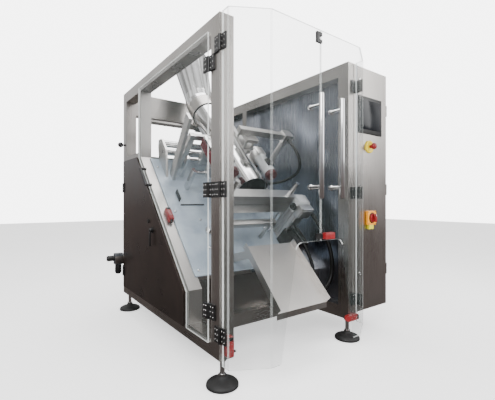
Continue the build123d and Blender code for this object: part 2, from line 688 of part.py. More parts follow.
def main_switch_handle():
    x, z = FRAME_WIDTH + MAIN_X, MAIN_Z
    shaft = rod((x, 14, z), (x, -21, z), MAIN_SHAFT_RADIUS)
    disc = rod((x, -20.5, z), (x, -32, z), MAIN_HANDLE_RADIUS)
    grip = block((x - 9, x + 9), (-52, -32), (z - MAIN_HANDLE_RADIUS + 3, z + MAIN_HANDLE_RADIUS - 3))
    return shaft + disc + grip


# ---------------------------------------------------------------- slope plate and forming set

def slope_plate():
    x = (TUBE - PLATE_LAP, FRAME_WIDTH - TUBE + PLATE_LAP)
    return SLOPE * block(x, (-PLATE_END, -PLATE_START), (0, PLATE_THICKNESS))


def forming_tube():
    start = slope_point(TUBE_AXIS_X, FORM_BOTTOM, TUBE_OFFSET)
    end = slope_point(TUBE_AXIS_X, FORM_TOP, TUBE_OFFSET)
    return rod(start, end, FORM_RADIUS) - rod(start, end, FORM_RADIUS - FORM_WALL)


def funnel_end(length):
    start = slope_point(TUBE_AXIS_X, FORM_TOP, TUBE_OFFSET)
    lean = math.radians(FUNNEL_LEAN)
    return (start[0], start[1] + length * math.cos(lean), start[2] + length * math.sin(lean))


def infeed_funnel():
    """The product funnel, with a collar over the tube's mouth and a rolled rim."""
    start, end = funnel_end(0), funnel_end(FUNNEL_LENGTH)
    far = funnel_end(FUNNEL_LENGTH + 1)
    low = slope_point(TUBE_AXIS_X, FORM_TOP - 60, TUBE_OFFSET)
    bore = FORM_RADIUS + SEAT
    mitre = Plane(origin=start, z_dir=(0, math.cos((SLOPE_ANGLE + math.radians(FUNNEL_LEAN)) / 2),
                                       math.sin((SLOPE_ANGLE + math.radians(FUNNEL_LEAN)) / 2)))
    collar_end = slope_point(TUBE_AXIS_X, FORM_TOP + 90, TUBE_OFFSET)
    collar = rod(low, collar_end, bore + FORM_WALL) - rod(low, collar_end, bore)
    collar = split(collar, mitre, keep=Keep.BOTTOM)
    below, neck = funnel_end(-90), funnel_end(FUNNEL_NECK)
    wall = rod(below, neck, bore + FORM_WALL) - rod(below, neck, bore)
    wall = split(wall, mitre, keep=Keep.TOP)
    wall += cone(neck, far, bore + FORM_WALL, FUNNEL_RIM_RADIUS)
    wall -= cone(neck, far, bore, FUNNEL_RIM_RADIUS - FORM_WALL)
    rim = Plane(origin=end, z_dir=Vector(*far) - Vector(*end))
    return collar + wall + rim * Torus(FUNNEL_RIM_RADIUS - 1, 4)


def forming_shoulder():
    """A collar round the tube, the sloping film wing behind it and the bar that carries both."""
    x, u = TUBE_AXIS_X, SHOULDER_AT
    bore = FORM_RADIUS + FILM_GAP
    low, high = slope_point(x, u - 150, TUBE_OFFSET), slope_point(x, u - 30, TUBE_OFFSET)
    collar = rod(low, high, bore + SHOULDER_WALL) - rod(low, high, bore)
    half = SHOULDER_HALF_WIDTH
    outline = [(x - half, 0), (x + half, 0), (x + half * 0.45, SHOULDER_RISE),
               (x - half * 0.45, SHOULDER_RISE)]
    wing = extrude(make_face(Polyline(*outline, close=True)), SHOULDER_WALL)
    edge = slope_point(0, u - 100, TUBE_OFFSET - FORM_RADIUS - 60)
    wing = Plane(origin=edge, x_dir=(1, 0, 0), z_dir=(0, -0.30, 0.954)) * wing
    neck = SLOPE * block((x - 40, x + 40), (u - 145, u - 60), (TUBE_OFFSET - FORM_RADIUS - 64, TUBE_OFFSET))
    bar = block((TUBE, FRAME_WIDTH - TUBE), (SLOPE_TOP[0] + 20, edge[1] + 14), (edge[2] - 12, edge[2] + 1))
    inside = rod(slope_point(x, -900, TUBE_OFFSET), slope_point(x, 900, TUBE_OFFSET), bore)
    return collar + (wing + neck + bar - inside)


def support_arms():
    """A split clamp that holds the tube between two posts, and a leaning arm at the left."""
    top = PLATE_THICKNESS
    x, (low, high) = TUBE_AXIS_X, CLAMP_U
    clamp = rod((x, low, TUBE_OFFSET), (x, high, TUBE_OFFSET), FORM_RADIUS + CLAMP_WALL)
    for side in (-1, 1):
        middle = x + side * CLAMP_POST_X
        clamp += block((middle - 20, middle + 20), (low - 6, high + 6), (top, TUBE_OFFSET + 20))
        reach = sorted((middle - side * 20, x + side * (FORM_RADIUS + CLAMP_WALL / 2)))
        clamp += block(reach, (low, high), (TUBE_OFFSET - 20, TUBE_OFFSET + 20))
    clamp -= rod((x, low - 10, TUBE_OFFSET), (x, high + 10, TUBE_OFFSET), FORM_RADIUS + SEAT)
    clamp -= block((x - CLAMP_MOUTH, x + CLAMP_MOUTH), (low - 10, high + 10),
                   (TUBE_OFFSET, TUBE_OFFSET + FORM_RADIUS + CLAMP_WALL + 1))
    pieces = [clamp]
    lean = [(-250.0, top), (-180.0, top), (-90.0, TUBE_OFFSET + 176), (-160.0, TUBE_OFFSET + 176)]
    arm = Plane.YZ * make_face(Polyline(*lean, close=True))
    pieces.append(Pos(TUBE_AXIS_X - 352, 0, 0) * extrude(arm, 22))
    return SLOPE * joined(pieces)


# ---------------------------------------------------------------- film-pull belts

def belt_loop(radius, z):
    """A rounded loop round both pulleys, in the slope's own axes."""
    low, high = sorted(PULLEY_LEVELS)
    x = TUBE_AXIS_X - BELT_AXIS
    loop = block((x - radius, x + radius), (low, high), z)
    for level in (low, high):
        loop += rod((x, level, z[0]), (x, level, z[1]), radius)
    return loop


def belt_z():
    return TUBE_OFFSET - BELT_WIDTH / 2, TUBE_OFFSET + BELT_WIDTH / 2


def left_belt():
    z = belt_z()
    inner = (z[0] - 1, z[1] + 1)
    return SLOPE * (belt_loop(BELT_REACH, z) - belt_loop(BELT_INNER_RADIUS, inner))


def left_pulley(level):
    """A flanged pulley with its shaft."""
    x = TUBE_AXIS_X - BELT_AXIS
    z = belt_z()
    body = rod((x, level, z[0] + 1), (x, level, z[1] - 1), BELT_INNER_RADIUS - RUNNING)
    shaft = rod((x, level, z[0] - 18), (x, level, z[1] + 18), 10)
    return SLOPE * (body + shaft)


def left_belt_unit():
    """Two plates that hold the pulley shafts, a spacer, slide bushes and the gearmotor."""
    x = TUBE_AXIS_X - BELT_AXIS
    z = belt_z()
    low, high = sorted(PULLEY_LEVELS)
    plates = [(z[0] - 4 - UNIT_PLATE, z[0] - 4), (z[1] + 4, z[1] + 4 + UNIT_PLATE)]
    unit = block((x - 10, x + 10), (low + 60, high - 60), (plates[0][0], plates[1][1]))
    for plate in plates:
        unit += block((x - 30, x + 30), (low - 26, high + 26), plate)
    rod_z = SLIDE_ROD_OFFSET
    for level in (low + 40, high - 40):
        bush = block((x - 28, x + 28), (level - 22, level + 22), (rod_z - 22, plates[0][0]))
        bush -= rod((0, level, rod_z), (FRAME_WIDTH, level, rod_z), SLIDE_ROD_RADIUS + RUNNING)
        unit += bush
    lid = plates[1][1]
    box_x = (x - 48, x + 26)
    unit += block(box_x, (low - 26, low + 62), (lid, lid + 86))
    unit += rod((x - 11, low - 26, lid + 43), (x - 11, low - 26 - MOTOR_LENGTH, lid + 43), MOTOR_RADIUS)
    for level in PULLEY_LEVELS:
        unit -= rod((x, level, z[0] - 20), (x, level, z[1] + 20), 10 + RUNNING)
    return SLOPE * unit


def guide_rods():
    """Rods that carry the belt units and the jaws, with their end blocks on the slope plate."""
    pieces = []
    low, high = sorted(PULLEY_LEVELS)
    ends = (TUBE_AXIS_X - SLIDE_ROD_REACH, TUBE_AXIS_X + SLIDE_ROD_REACH)
    for level in (low + 40, high - 40):
        pieces.append(rod((ends[0], level, SLIDE_ROD_OFFSET), (ends[1], level, SLIDE_ROD_OFFSET),
                          SLIDE_ROD_RADIUS))
        for x in ends:
            foot = block((x - 12, x + 12), (level - 20, level + 20),
                         (PLATE_THICKNESS, SLIDE_ROD_OFFSET + 20))
            pieces.append(foot - pieces[-1 if x == ends[0] else -2])
    middle = (JAW_TOP + JAW_BOTTOM) / 2
    for x in JAW_ROD_X:
        pieces.append(rod((x, middle, PLATE_THICKNESS), (x, middle, JAW_ROD_TOP), JAW_ROD_RADIUS))
        flange = rod((x, middle, PLATE_THICKNESS), (x, middle, PLATE_THICKNESS + 14), 32)
        pieces.append(flange - pieces[-1])
    return SLOPE * joined(pieces)


# ---------------------------------------------------------------- jaws

def jaw(offsets, slot):
    """One sealing jaw on the two guide rods, with a slot for the knife."""
    middle = (JAW_TOP + JAW_BOTTOM) / 2
    body = block(JAW_X, (JAW_BOTTOM, JAW_TOP), offsets)
    for x in JAW_ROD_X:
        body -= rod((x, middle, 0), (x, middle, JAW_ROD_TOP), JAW_ROD_RADIUS + RUNNING)
    knife_room = (KNIFE_X[0] - 1, KNIFE_X[1] + 1)
    body -= block(knife_room, (middle - KNIFE_SLOT / 2, middle + KNIFE_SLOT / 2), slot)
    return SLOPE * body


def front_jaw():
    return jaw(FRONT_JAW, (FRONT_JAW[0] - 1, FRONT_JAW[1] - 14))


def rear_jaw():
    return jaw(REAR_JAW, (REAR_JAW[1] - KNIFE_TRAVEL - 6, REAR_JAW[1] + 1))


def knife():
    middle = (JAW_TOP + JAW_BOTTOM) / 2
    start = FRONT_JAW[0] + 1
    return SLOPE * block(KNIFE_X, (middle - KNIFE_THICKNESS / 2, middle + KNIFE_THICKNESS / 2),
                         (start, FRONT_JAW[1] - 16))


def beside(low, high):
    """Two values along X, given from the machine's middle."""
    return MIDDLE + low, MIDDLE + high


def jaw_drive():
    """The jaw gearmotor on its bracket, the beam under the jaws and the side cover."""
    top = PLATE_THICKNESS
    bracket = block(beside(295, 385), (DRIVE_FOOT, -730), (top, 256))
    gearbox = block(beside(290, 406), (-870, -812), (256, 344))
    motor = block(beside(286, 410), (-812, -715), (256, 350))
    plug = block(beside(410, 450), (DRIVE_PLUG, -718), (268, 312))
    knob = rod((MIDDLE + 286, -795, 300), (MIDDLE + 260, -795, 300), 14)
    beam = block(beside(-220, 180), (-840, -800), (150, 190))
    for leg in (-190, 130):
        beam += block(beside(leg, leg + 20), (-830, -810), (top, 150))
    cover = block(beside(280, 420), (-1000, -845), (top, 130))
    return SLOPE * joined([bracket + gearbox + motor + plug + knob, beam, cover])


# ---------------------------------------------------------------- back-seam sealer

def sealer_mount():
    """A round post, an elbow block and the beam that reaches over the forming tube."""
    low, high = SEALER_BEAM_OFFSET, SEALER_BEAM_OFFSET + SEALER_BEAM
    u, half = SEALER_BEAM_U, SEALER_BEAM / 2
    x = SEALER_POST_X
    post = rod((x, u, PLATE_THICKNESS), (x, u, low - 15), SEALER_POST_RADIUS)
    flange = rod((x, u, PLATE_THICKNESS), (x, u, PLATE_THICKNESS + 14), SEALER_POST_RADIUS + 14)
    elbow = block((x - 40, x + 34), (u - SEALER_ELBOW, u + SEALER_ELBOW), (low - 15, high + 10))
    beam = block((TUBE_AXIS_X - 90, x - 40), (u - half, u + half), (low, high))
    body = block((TUBE_AXIS_X - 48, TUBE_AXIS_X + 48), (u - 76, u + 76), (low - 22, low))
    for level in sealer_levels():
        for side in (-30, 30):
            body -= rod((TUBE_AXIS_X + side, level, 0), (TUBE_AXIS_X + side, level, low), 8 + RUNNING)
    return SLOPE * (post + flange + elbow + beam + body)


def sealer_levels():
    return SEALER_BEAM_U - 55, SEALER_BEAM_U + 55


def sealer_bar():
    """The heated bar, its carrier and four guide pins. It moves towards the tube."""
    face = TUBE_OFFSET + FORM_RADIUS + SEALER_TRAVEL + 1.5
    x = (TUBE_AXIS_X - SEALER_BAR_X / 2, TUBE_AXIS_X + SEALER_BAR_X / 2)
    bar = block(x, (SEALER_BAR_BOTTOM, SEALER_BAR_TOP), (face, face + SEALER_BAR_DEPTH))
    carrier = (face + SEALER_BAR_DEPTH, face + SEALER_BAR_DEPTH + 14)
    bar += block((TUBE_AXIS_X - 44, TUBE_AXIS_X + 44), (SEALER_BEAM_U - 72, SEALER_BEAM_U + 72),
                 carrier)
    for level in sealer_levels():
        for side in (-30, 30):
            x = TUBE_AXIS_X + side
            bar += rod((x, level, carrier[1]), (x, level, SEALER_BEAM_OFFSET - 1), 8)
    return SLOPE * bar


# ---------------------------------------------------------------- film path

def roller(centre):
    y, z = centre
    body = rod((ROLLER_X[0], y, z), (ROLLER_X[1], y, z), ROLLER_RADIUS)
    return body + rod((ROLLER_X[0] - 22, y, z), (ROLLER_X[1] + 22, y, z), JOURNAL_RADIUS)


def reel_shaft():
    """The film shaft with its two centring cones."""
    y, z = REEL_CENTRE
    shaft = rod((TUBE + 1, y, z), (FRAME_WIDTH - TUBE - 1, y, z), REEL_SHAFT_RADIUS)
    for x, way in ((MIDDLE - REEL_HALF_WIDTH, 1), (MIDDLE + REEL_HALF_WIDTH, -1)):
        shaft += cone((x, y, z), (x + way * 60, y, z), REEL_CONE_RADIUS, REEL_SHAFT_RADIUS)
        shaft += rod((x, y, z), (x - way * 20, y, z), REEL_CONE_RADIUS)
    return shaft


def bearing_brackets():
    """Plates that carry the two rollers above the slope and the film shaft below it."""
    upper, lower = UPPER_ROLLER, LOWER_ROLLER
    foot = PLATE_THICKNESS
    pieces = []
    outline = [to_slope(SLOPE_TOP[0] - 160, foot), to_slope(SLOPE_TOP[0] - 22, foot),
               (upper[0] + 40, upper[1] - 20), (upper[0] + 30, upper[1] + 30),
               (upper[0] - 30, upper[1] + 30), (lower[0] - 50, lower[1] + 10)]
    for x in ((ROLLER_X[0] - 20, ROLLER_X[0] - 4), (ROLLER_X[1] + 4, ROLLER_X[1] + 20)):
        plate = side_profile(outline, x)
        for y, z in (upper, lower):
            plate -= rod((x[0] - 5, y, z), (x[1] + 5, y, z), JOURNAL_RADIUS + RUNNING)
        pieces.append(plate)
    y, z = REEL_CENTRE
    stand = side_profile([(y - 180, FLOOR_GAP + 10), (y + 180, FLOOR_GAP + 10), (y + 55, z + 50),
                          (y - 55, z + 50)], (TUBE, TUBE + REEL_STAND))
    stand -= rod((0, y, z), (FRAME_WIDTH, y, z), REEL_SHAFT_RADIUS + RUNNING)
    return joined(pieces + [stand, mirrored(stand)])


def to_slope(y, offset):
    """The point at a given Y on a line that lies a set offset above the slope."""
    return y, SLOPE_TOP[1] + (y - SLOPE_TOP[0]) * math.tan(SLOPE_ANGLE) + offset / COS


# ---------------------------------------------------------------- chute

def discharge_chute():
    """A folded channel parallel to the slope, with a lip at its lower end, on two legs."""
    rise = math.tan(SLOPE_ANGLE)
    end = (CHUTE_END_Y, CHUTE_TOP[1] + (CHUTE_END_Y - CHUTE_TOP[0]) * rise)
    path = [(end[0], end[1] - CHUTE_LIP), end, CHUTE_TOP]
    low, high = MIDDLE - CHUTE_HALF_WIDTH, MIDDLE + CHUTE_HALF_WIDTH
    chute = side_profile(strip(path, -SHEET), (low, high))
    side = strip([end, CHUTE_TOP], CHUTE_SIDE)
    for x in ((low, low + SHEET), (high - SHEET, high)):
        chute += side_profile(side, x)
    leg = [(CHUTE_TOP[0] - 55, CHUTE_TOP[1] - 55 * rise - SHEET / COS - 0.02),
           (CHUTE_TOP[0] - 15, CHUTE_TOP[1] - 15 * rise - SHEET / COS - 0.02),
           (SLOPE_FOOT[0] + 130, to_slope(SLOPE_FOOT[0] + 130, PLATE_THICKNESS)[1]),
           (SLOPE_FOOT[0] + 90, to_slope(SLOPE_FOOT[0] + 90, PLATE_THICKNESS)[1])]
    legs = [side_profile(leg, (x, x + 8)) for x in (low + 20, high - 28)]
    return joined([chute] + legs)


# ---------------------------------------------------------------- conduits

def slope_point(x, u, offset):
    return tuple(SLOPE.from_local_coords(Vector(x, u, offset)))


def conduit_start(x, u, offset):
    """The first two points of a route that leaves a gland straight down the slope."""
    low = u - GLAND_LENGTH
    return [slope_point(x, low, offset), slope_point(x, low - CONDUIT_STRAIGHT, offset)]


def across_from_middle(points):
    """Points whose X is given from the machine's middle."""
    return [(MIDDLE + x, y, z) for x, y, z in points]


# Routes of the conduits. The last run of the lower two meets the base panel's gland squarely.
UPPER_CONDUIT = 22.0
MOTOR_CONDUIT = 28.0
JAW_CONDUIT = 24.0
CONDUIT_STRAIGHT = 60.0
PANEL_GLAND_Y = SLOPE_FOOT[0] + MEMBER_DEPTH - SHEET - GLAND_LENGTH
UPPER_ROUTE = conduit_start(MIDDLE + 330, SEALER_BEAM_U - SEALER_ELBOW, SEALER_BEAM_OFFSET + 17)
UPPER_ROUTE += across_from_middle([
    (346, 352, 1217), (370, 357, 1156), (388, 400, 1106), (388, 462, 1075), (362, 523, 1049),
    (312, 557.5, 1031.3), (255, 557.5, 1031.3)])
MOTOR_ROUTE = conduit_start(MIDDLE + 430, DRIVE_PLUG, 290) + across_from_middle([
    (448, 258, 742), (466, 216, 668), (476, 182, 588), (478, 162, 500), (478, 162, 400),
    (438, 162, 330), (368, 162, 290), (288, 162, 290), (218, 202, 290), (178, 272, 290),
    (178, PANEL_GLAND_Y, 290)])
JAW_ROUTE = conduit_start(MIDDLE + 320, DRIVE_FOOT, 171) + across_from_middle([
    (327, 276, 602), (335, 240, 534), (337, 212, 466), (333, 196, 404), (325, 201, 343),
    (315, 236, 295), (306, 292, 270), (306, PANEL_GLAND_Y, 270)])


def arc_radii(route):
    """Each corner's radius: 0.45 of its shorter run over the tangent of half its turn."""
    points = [Vector(*point) for point in route]
    radii = []
    for before, here, after in zip(points, points[1:], points[2:]):
        turn = math.radians((here - before).get_angle(after - here))
        shorter = min((here - before).length, (after - here).length)
        radii.append(0.45 * shorter / math.tan(turn / 2))
    return radii


def conduit(route, diameter):
    """A free cable conduit: straight runs joined by tangent arcs."""
    radii = arc_radii(route)
    line = FilletPolyline(*route, radius=radii)
    tube = sweep(Plane(origin=line @ 0, z_dir=line % 0) * Circle(diameter / 2), path=line)
    expected = math.pi * diameter ** 2 / 4 * line.length
    print(f"conduit {diameter:.0f}: length {line.length:.0f}, volume ratio {tube.volume / expected:.4f},",
          "radii", [round(radius) for radius in radii])
    return tube


def gland(route, diameter, last):
    """A round gland that faces one end of a conduit."""
    near, beyond = (route[-1], route[-2]) if last else (route[0], route[1])
    way = (Vector(*near) - Vector(*beyond)).normalized()
    end = Vector(*near) + way * GLAND_LENGTH
    return rod(tuple(near), tuple(end), diameter / 2 + GLAND_WALL)


def conduit_glands():
    """Glands at both ends of each conduit, and the post that holds the upper one's far end."""
    pieces = []
    for route, diameter in ((UPPER_ROUTE, UPPER_CONDUIT), (MOTOR_ROUTE, MOTOR_CONDUIT),
                            (JAW_ROUTE, JAW_CONDUIT)):
        pieces += [gland(route, diameter, False), gland(route, diameter, True)]
    end = SLOPE.to_local_coords(Vector(*UPPER_ROUTE[-1]))
    face = end.X - GLAND_LENGTH
    post = SLOPE * block((face - 34, face), (end.Y - 20, end.Y + 20), (PLATE_THICKNESS, end.Z + 20))
    return joined(pieces + [post])


# ---------------------------------------------------------------- air unit and ball knob

def air_unit():
    """A filter regulator with its bowl, on a bracket behind the left back post."""
    width, depth, height = AIR_BODY
    y = (AIR_Y, AIR_Y + depth)
    head = block((-width, 0), y, (AIR_BOTTOM + height * 0.55, AIR_BOTTOM + height + 24))
    head += block((-width, TUBE - 20), (FRAME_DEPTH, AIR_Y), (AIR_BOTTOM + 90, AIR_BOTTOM + height))
    middle = AIR_Y + depth / 2
    bowl = rod((-width / 2, middle, AIR_BOTTOM), (-width / 2, middle, AIR_BOTTOM + height * 0.55),
               depth / 2 - 3)
    top = AIR_BOTTOM + height
    spindle = rod((-width - 14, middle, top - 16), (-width, middle, top - 16), 8)
    return head + bowl + spindle


def air_knob():
    middle = AIR_Y + AIR_BODY[1] / 2
    z = AIR_BOTTOM + AIR_BODY[2] - 16
    start = -AIR_BODY[0] - 0.5
    knob = rod((start, middle, z), (start - AIR_KNOB_LENGTH, middle, z), AIR_KNOB_RADIUS)
    return knob - rod((start + 1, middle, z), (start - 16, middle, z), 8 + RUNNING)


def ball_knob():
    """A ball-ended plunger that pulls straight out of the back post."""
    stalk = BALL_STALK_RADIUS
    centre = BALL_STALK + BALL_RADIUS
    meeting = centre - math.sqrt(BALL_RADIUS ** 2 - stalk ** 2)
    outline = Polyline((0, centre + BALL_RADIUS), (0, 0.3), (stalk, 0.3), (stalk, meeting))
    outline += ThreePointArc((stalk, meeting), (BALL_RADIUS, centre), (0, centre + BALL_RADIUS))
    knob = revolve(Plane.XZ * make_face(outline), Axis.Z)
    return Plane(origin=(0, BACK_RAIL + TUBE / 2, BALL_Z), z_dir=(-1, 0, 0)) * knob


# ---------------------------------------------------------------- the whole machine

def machine():
    """Every node by name, in the modelling axes."""
    upper_level, lower_level = PULLEY_LEVELS
    belt_nodes = {
        "belt": left_belt(),
        "belt_unit": left_belt_unit(),
        "drive_pulley": left_pulley(lower_level),
        "idler_pulley": left_pulley(upper_level),
    }
    nodes = {
        "corner_posts": corner_posts(),
        "frame_rails": frame_rails(),
        "slant_members": slant_members(),
        "foot_pads": foot_pads(),
        "foot_spindles": foot_spindles(),
        "frame_panels": frame_panels(),
        "rear_cover": rear_cover(),
        "right_side_wall": right_side_wall(),
        "fixed_hinges": fixed_hinges(),
        "frame_switches": frame_switches(),
        "service_door_panel": service_door_panel(),
        "service_door_fittings": service_door_fittings(),
        "service_handle": service_handle(),
        "left_door_panel": left_door_panel(),
        "left_door_handle": left_door_handle(),
        "left_door_fittings": left_door_fittings(),
        "right_door_panel": mirrored(left_door_panel()),
        "right_door_handle": mirrored(left_door_handle()),
        "right_door_fittings": right_door_fittings(),
        "side_door_panel": side_door_panel(),
        "side_door_fittings": side_door_fittings(),
        "cabinet_shell": cabinet_shell(),
        "cabinet_gear": cabinet_gear(),
        "cabinet_door": cabinet_door(),
        "screen": screen(),
        "control_plates": control_plates(),
        "stop_button": stop_button(),
        "main_switch_handle": main_switch_handle(),
        "slope_plate": slope_plate(),
        "forming_tube": forming_tube(),
        "infeed_funnel": infeed_funnel(),
        "forming_shoulder": forming_shoulder(),
        "support_arms": support_arms(),
        "guide_rods": guide_rods(),
        "front_jaw": front_jaw(),
        "rear_jaw": rear_jaw(),
        "knife": knife(),
        "jaw_drive": jaw_drive(),
        "sealer_mount": sealer_mount(),
        "sealer_bar": sealer_bar(),
        "upper_roller": roller(UPPER_ROLLER),
        "lower_roller": roller(LOWER_ROLLER),
        "reel_shaft": reel_shaft(),
        "bearing_brackets": bearing_brackets(),
        "discharge_chute": discharge_chute(),
        "upper_conduit": conduit(UPPER_ROUTE, UPPER_CONDUIT),
        "motor_conduit": conduit(MOTOR_ROUTE, MOTOR_CONDUIT),
        "jaw_conduit": conduit(JAW_ROUTE, JAW_CONDUIT),
        "conduit_glands": conduit_glands(),
        "air_unit": air_unit(),
        "air_knob": air_knob(),
        "ball_knob": ball_knob(),
    }
    for name, shape in belt_nodes.items():
        nodes["left_" + name] = shape
        nodes["right_" + name] = mirrored(shape)
    return nodes


nodes = machine()
bounds = [shape.bounding_box() for shape in nodes.values()]
CENTRE_X = (min(b.min.X for b in bounds) + max(b.max.X for b in bounds)) / 2
CENTRE_Y = (min(b.min.Y for b in bounds) + max(b.max.Y for b in bounds)) / 2
print(f"centre {CENTRE_X:.3f} {CENTRE_Y:.3f}, top {max(b.max.Z for b in bounds):.1f}")

os.makedirs("parts", exist_ok=True)
for name, shape in nodes.items():
    export_step(Pos(-CENTRE_X, -CENTRE_Y, 0) * shape, f"parts/{name}.step")
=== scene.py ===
"""The finishes, studio and modelled pieces of a vertical form fill sealer."""

import math

import bpy
from mathutils import Matrix, Vector


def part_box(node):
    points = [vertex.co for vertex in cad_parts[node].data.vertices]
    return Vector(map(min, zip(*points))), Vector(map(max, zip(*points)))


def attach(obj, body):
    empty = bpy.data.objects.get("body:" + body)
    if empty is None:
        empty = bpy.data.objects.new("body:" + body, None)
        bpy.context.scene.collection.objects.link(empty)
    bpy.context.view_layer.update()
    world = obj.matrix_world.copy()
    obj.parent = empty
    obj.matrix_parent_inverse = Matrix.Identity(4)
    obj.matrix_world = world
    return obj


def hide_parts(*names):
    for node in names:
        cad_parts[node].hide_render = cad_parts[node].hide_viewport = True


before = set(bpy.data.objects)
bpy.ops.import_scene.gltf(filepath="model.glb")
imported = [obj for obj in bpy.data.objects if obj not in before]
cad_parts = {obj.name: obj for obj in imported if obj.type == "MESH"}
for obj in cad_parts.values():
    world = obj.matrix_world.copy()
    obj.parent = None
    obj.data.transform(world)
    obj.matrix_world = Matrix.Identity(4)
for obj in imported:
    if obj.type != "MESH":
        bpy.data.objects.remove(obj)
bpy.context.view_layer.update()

# Sizes are in millimetres. Distances up the slope count from its top edge, so most are negative.
MM = 0.001
FRAME_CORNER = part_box("corner_posts")[0]
FRAME_WIDTH = 1040
SLOPE_TOP = (1107, 1224)
SLOPE_RUN, SLOPE_RISE = 788, 818
SLOPE_ANGLE = math.atan2(SLOPE_RISE, SLOPE_RUN)
SIN, COS = math.sin(SLOPE_ANGLE), math.cos(SLOPE_ANGLE)
PLATE_FACE = 10
FRONT_HINGES = (265, 951, 1640)
SIDE_HINGES = (359, 951, 1568)
SHARP = math.radians(35)


# ---------------------------------------------------------------- places

def at(x, y, z):
    """A point in millimetres from the frame's front left corner on the floor."""
    return Vector((FRAME_CORNER.x + x * MM, FRAME_CORNER.y + y * MM, z * MM))


def on_slope(x, up, off):
    """A point given by its distance up the slope and off it."""
    return at(x, SLOPE_TOP[0] - SIN * off + COS * up, SLOPE_TOP[1] + COS * off + SIN * up)


ALONG_X, ALONG_Y, ALONG_Z = Vector((1, 0, 0)), Vector((0, 1, 0)), Vector((0, 0, 1))
UP_SLOPE = Vector((0, COS, SIN))
OFF_SLOPE = Vector((0, -SIN, COS))


# ---------------------------------------------------------------- materials

class Reading:
    """A number in a node tree. Arithmetic on it adds Math nodes."""

    def __init__(self, nodes, socket):
        self.nodes, self.socket = nodes, socket

    def __add__(self, other):
        return self.nodes.math("ADD", self, other)

    def __sub__(self, other):
        return self.nodes.math("SUBTRACT", self, other)

    def __rsub__(self, other):
        return self.nodes.math("SUBTRACT", other, self)

    def __mul__(self, other):
        return self.nodes.math("MULTIPLY", self, other)

    def __lt__(self, other):
        return self.nodes.math("LESS_THAN", self, other)

    def __gt__(self, other):
        return self.nodes.math("GREATER_THAN", self, other)

    def __abs__(self):
        return self.nodes.math("ABSOLUTE", self, 0)

    __radd__, __rmul__ = __add__, __mul__


class Nodes:
    """A node tree under construction."""

    def __init__(self, tree):
        self.tree = tree

    def node(self, kind, settings, sockets, output=0):
        """Adds a node: settings first, then its sockets' values or links. Gives one output."""
        made = self.tree.nodes.new(kind)
        for key, value in settings.items():
            if key == "stops":
                self.set_stops(made.color_ramp.elements, value)
            else:
                setattr(made, key, value)
        self.feed(made, sockets)
        return Reading(self, made.outputs[output])

    def feed(self, node, sockets):
        """Sets or links a node's sockets."""
        for key, value in sockets.items():
            if isinstance(value, Reading):
                self.tree.links.new(value.socket, node.inputs[key])
            else:
                node.inputs[key].default_value = value

    @staticmethod
    def set_stops(elements, stops):
        """Gives a colour ramp its places and colours."""
        while len(elements) < len(stops):
            elements.new(0.5)
        for element, (position, colour) in zip(elements, stops):
            element.position, element.color = position, (*colour, 1)

    def math(self, operation, first, second, clamp=False):
        """One Math node."""
        settings = {"operation": operation, "use_clamp": clamp}
        return self.node("ShaderNodeMath", settings, {0: first, 1: second})

    def ramp(self, value, *stops):
        """Colours over a range of a value."""
        return self.node("ShaderNodeValToRGB", {"stops": stops}, {"Fac": value})

    def mix(self, factor, first, second, blend="MIX"):
        """A blend of two colours."""
        return self.node("ShaderNodeMix", {"data_type": "RGBA", "blend_type": blend},
                         {0: factor, 6: first, 7: second}, 2)


class Finish(Nodes):
    """A material under construction, with its one shader."""

    def __init__(self, name):
        self.material = bpy.data.materials.new(name)
        self.material.use_nodes = True
        super().__init__(self.material.node_tree)
        self.shader = self.tree.nodes["Principled BSDF"]
        self.place = self.node("ShaderNodeTexCoord", {}, {}, "Object")

    def noise(self, stretch, detail=3.0):
        """Noise on the piece's own coordinates, squeezed along each axis by a factor."""
        placed = self.node("ShaderNodeMapping", {}, {"Vector": self.place, "Scale": stretch})
        return self.node("ShaderNodeTexNoise", {}, {"Vector": placed, "Scale": 1.0, "Detail": detail})

    def part(self, axis):
        """One coordinate of the place on the piece."""
        return self.node("ShaderNodeSeparateXYZ", {}, {0: self.place}, axis)

    def facing(self, axis):
        """How far the surface faces along one axis of the piece itself, from 0 to 1."""
        normal = self.node("ShaderNodeTexCoord", {}, {}, "Normal")
        return abs(self.node("ShaderNodeSeparateXYZ", {}, {0: normal}, axis))

    def bump(self, height, strength, distance):
        """Relief from a height between 0 and 1, as deep as the distance in metres."""
        sockets = {"Height": height, "Strength": strength, "Distance": distance}
        return self.node("ShaderNodeBump", {}, sockets)

    def surface(self, **sockets):
        """Sets or links the shader's sockets and gives the finished material."""
        self.feed(self.shader, {key.replace("_", " "): value for key, value in sockets.items()})
        return self.material


def rgb(code):
    """A linear colour from a hex code."""
    values = [int(code[i:i + 2], 16) / 255 for i in (0, 2, 4)]
    return tuple(v / 12.92 if v <= 0.04045 else ((v + 0.055) / 1.055) ** 2.4 for v in values)


def rgba(code):
    """A linear colour from a hex code, with full cover."""
    return (*rgb(code), 1)


def brushed(name, light, dark, grain, roughness=0.26):
    """Stainless steel with fine grinding lines, faint handling marks and soft bands of tone."""
    finish = Finish(name)
    lines = finish.noise(grain, 4.0)
    marks = finish.noise((5, 5, 3), 4.0)
    cloud = finish.noise((1.3, 1.3, 1.1), 2.0)
    tone = finish.ramp(lines * 0.2 + marks * 0.3 + cloud * 0.5, (0.36, rgb(dark)), (0.64, rgb(light)))
    rough = lines * 0.1 + marks * 0.12 + (roughness - 0.08)
    return finish.surface(Base_Color=tone, Metallic=1.0, Roughness=rough,
                          Normal=finish.bump(lines, 0.05, 0.0002))


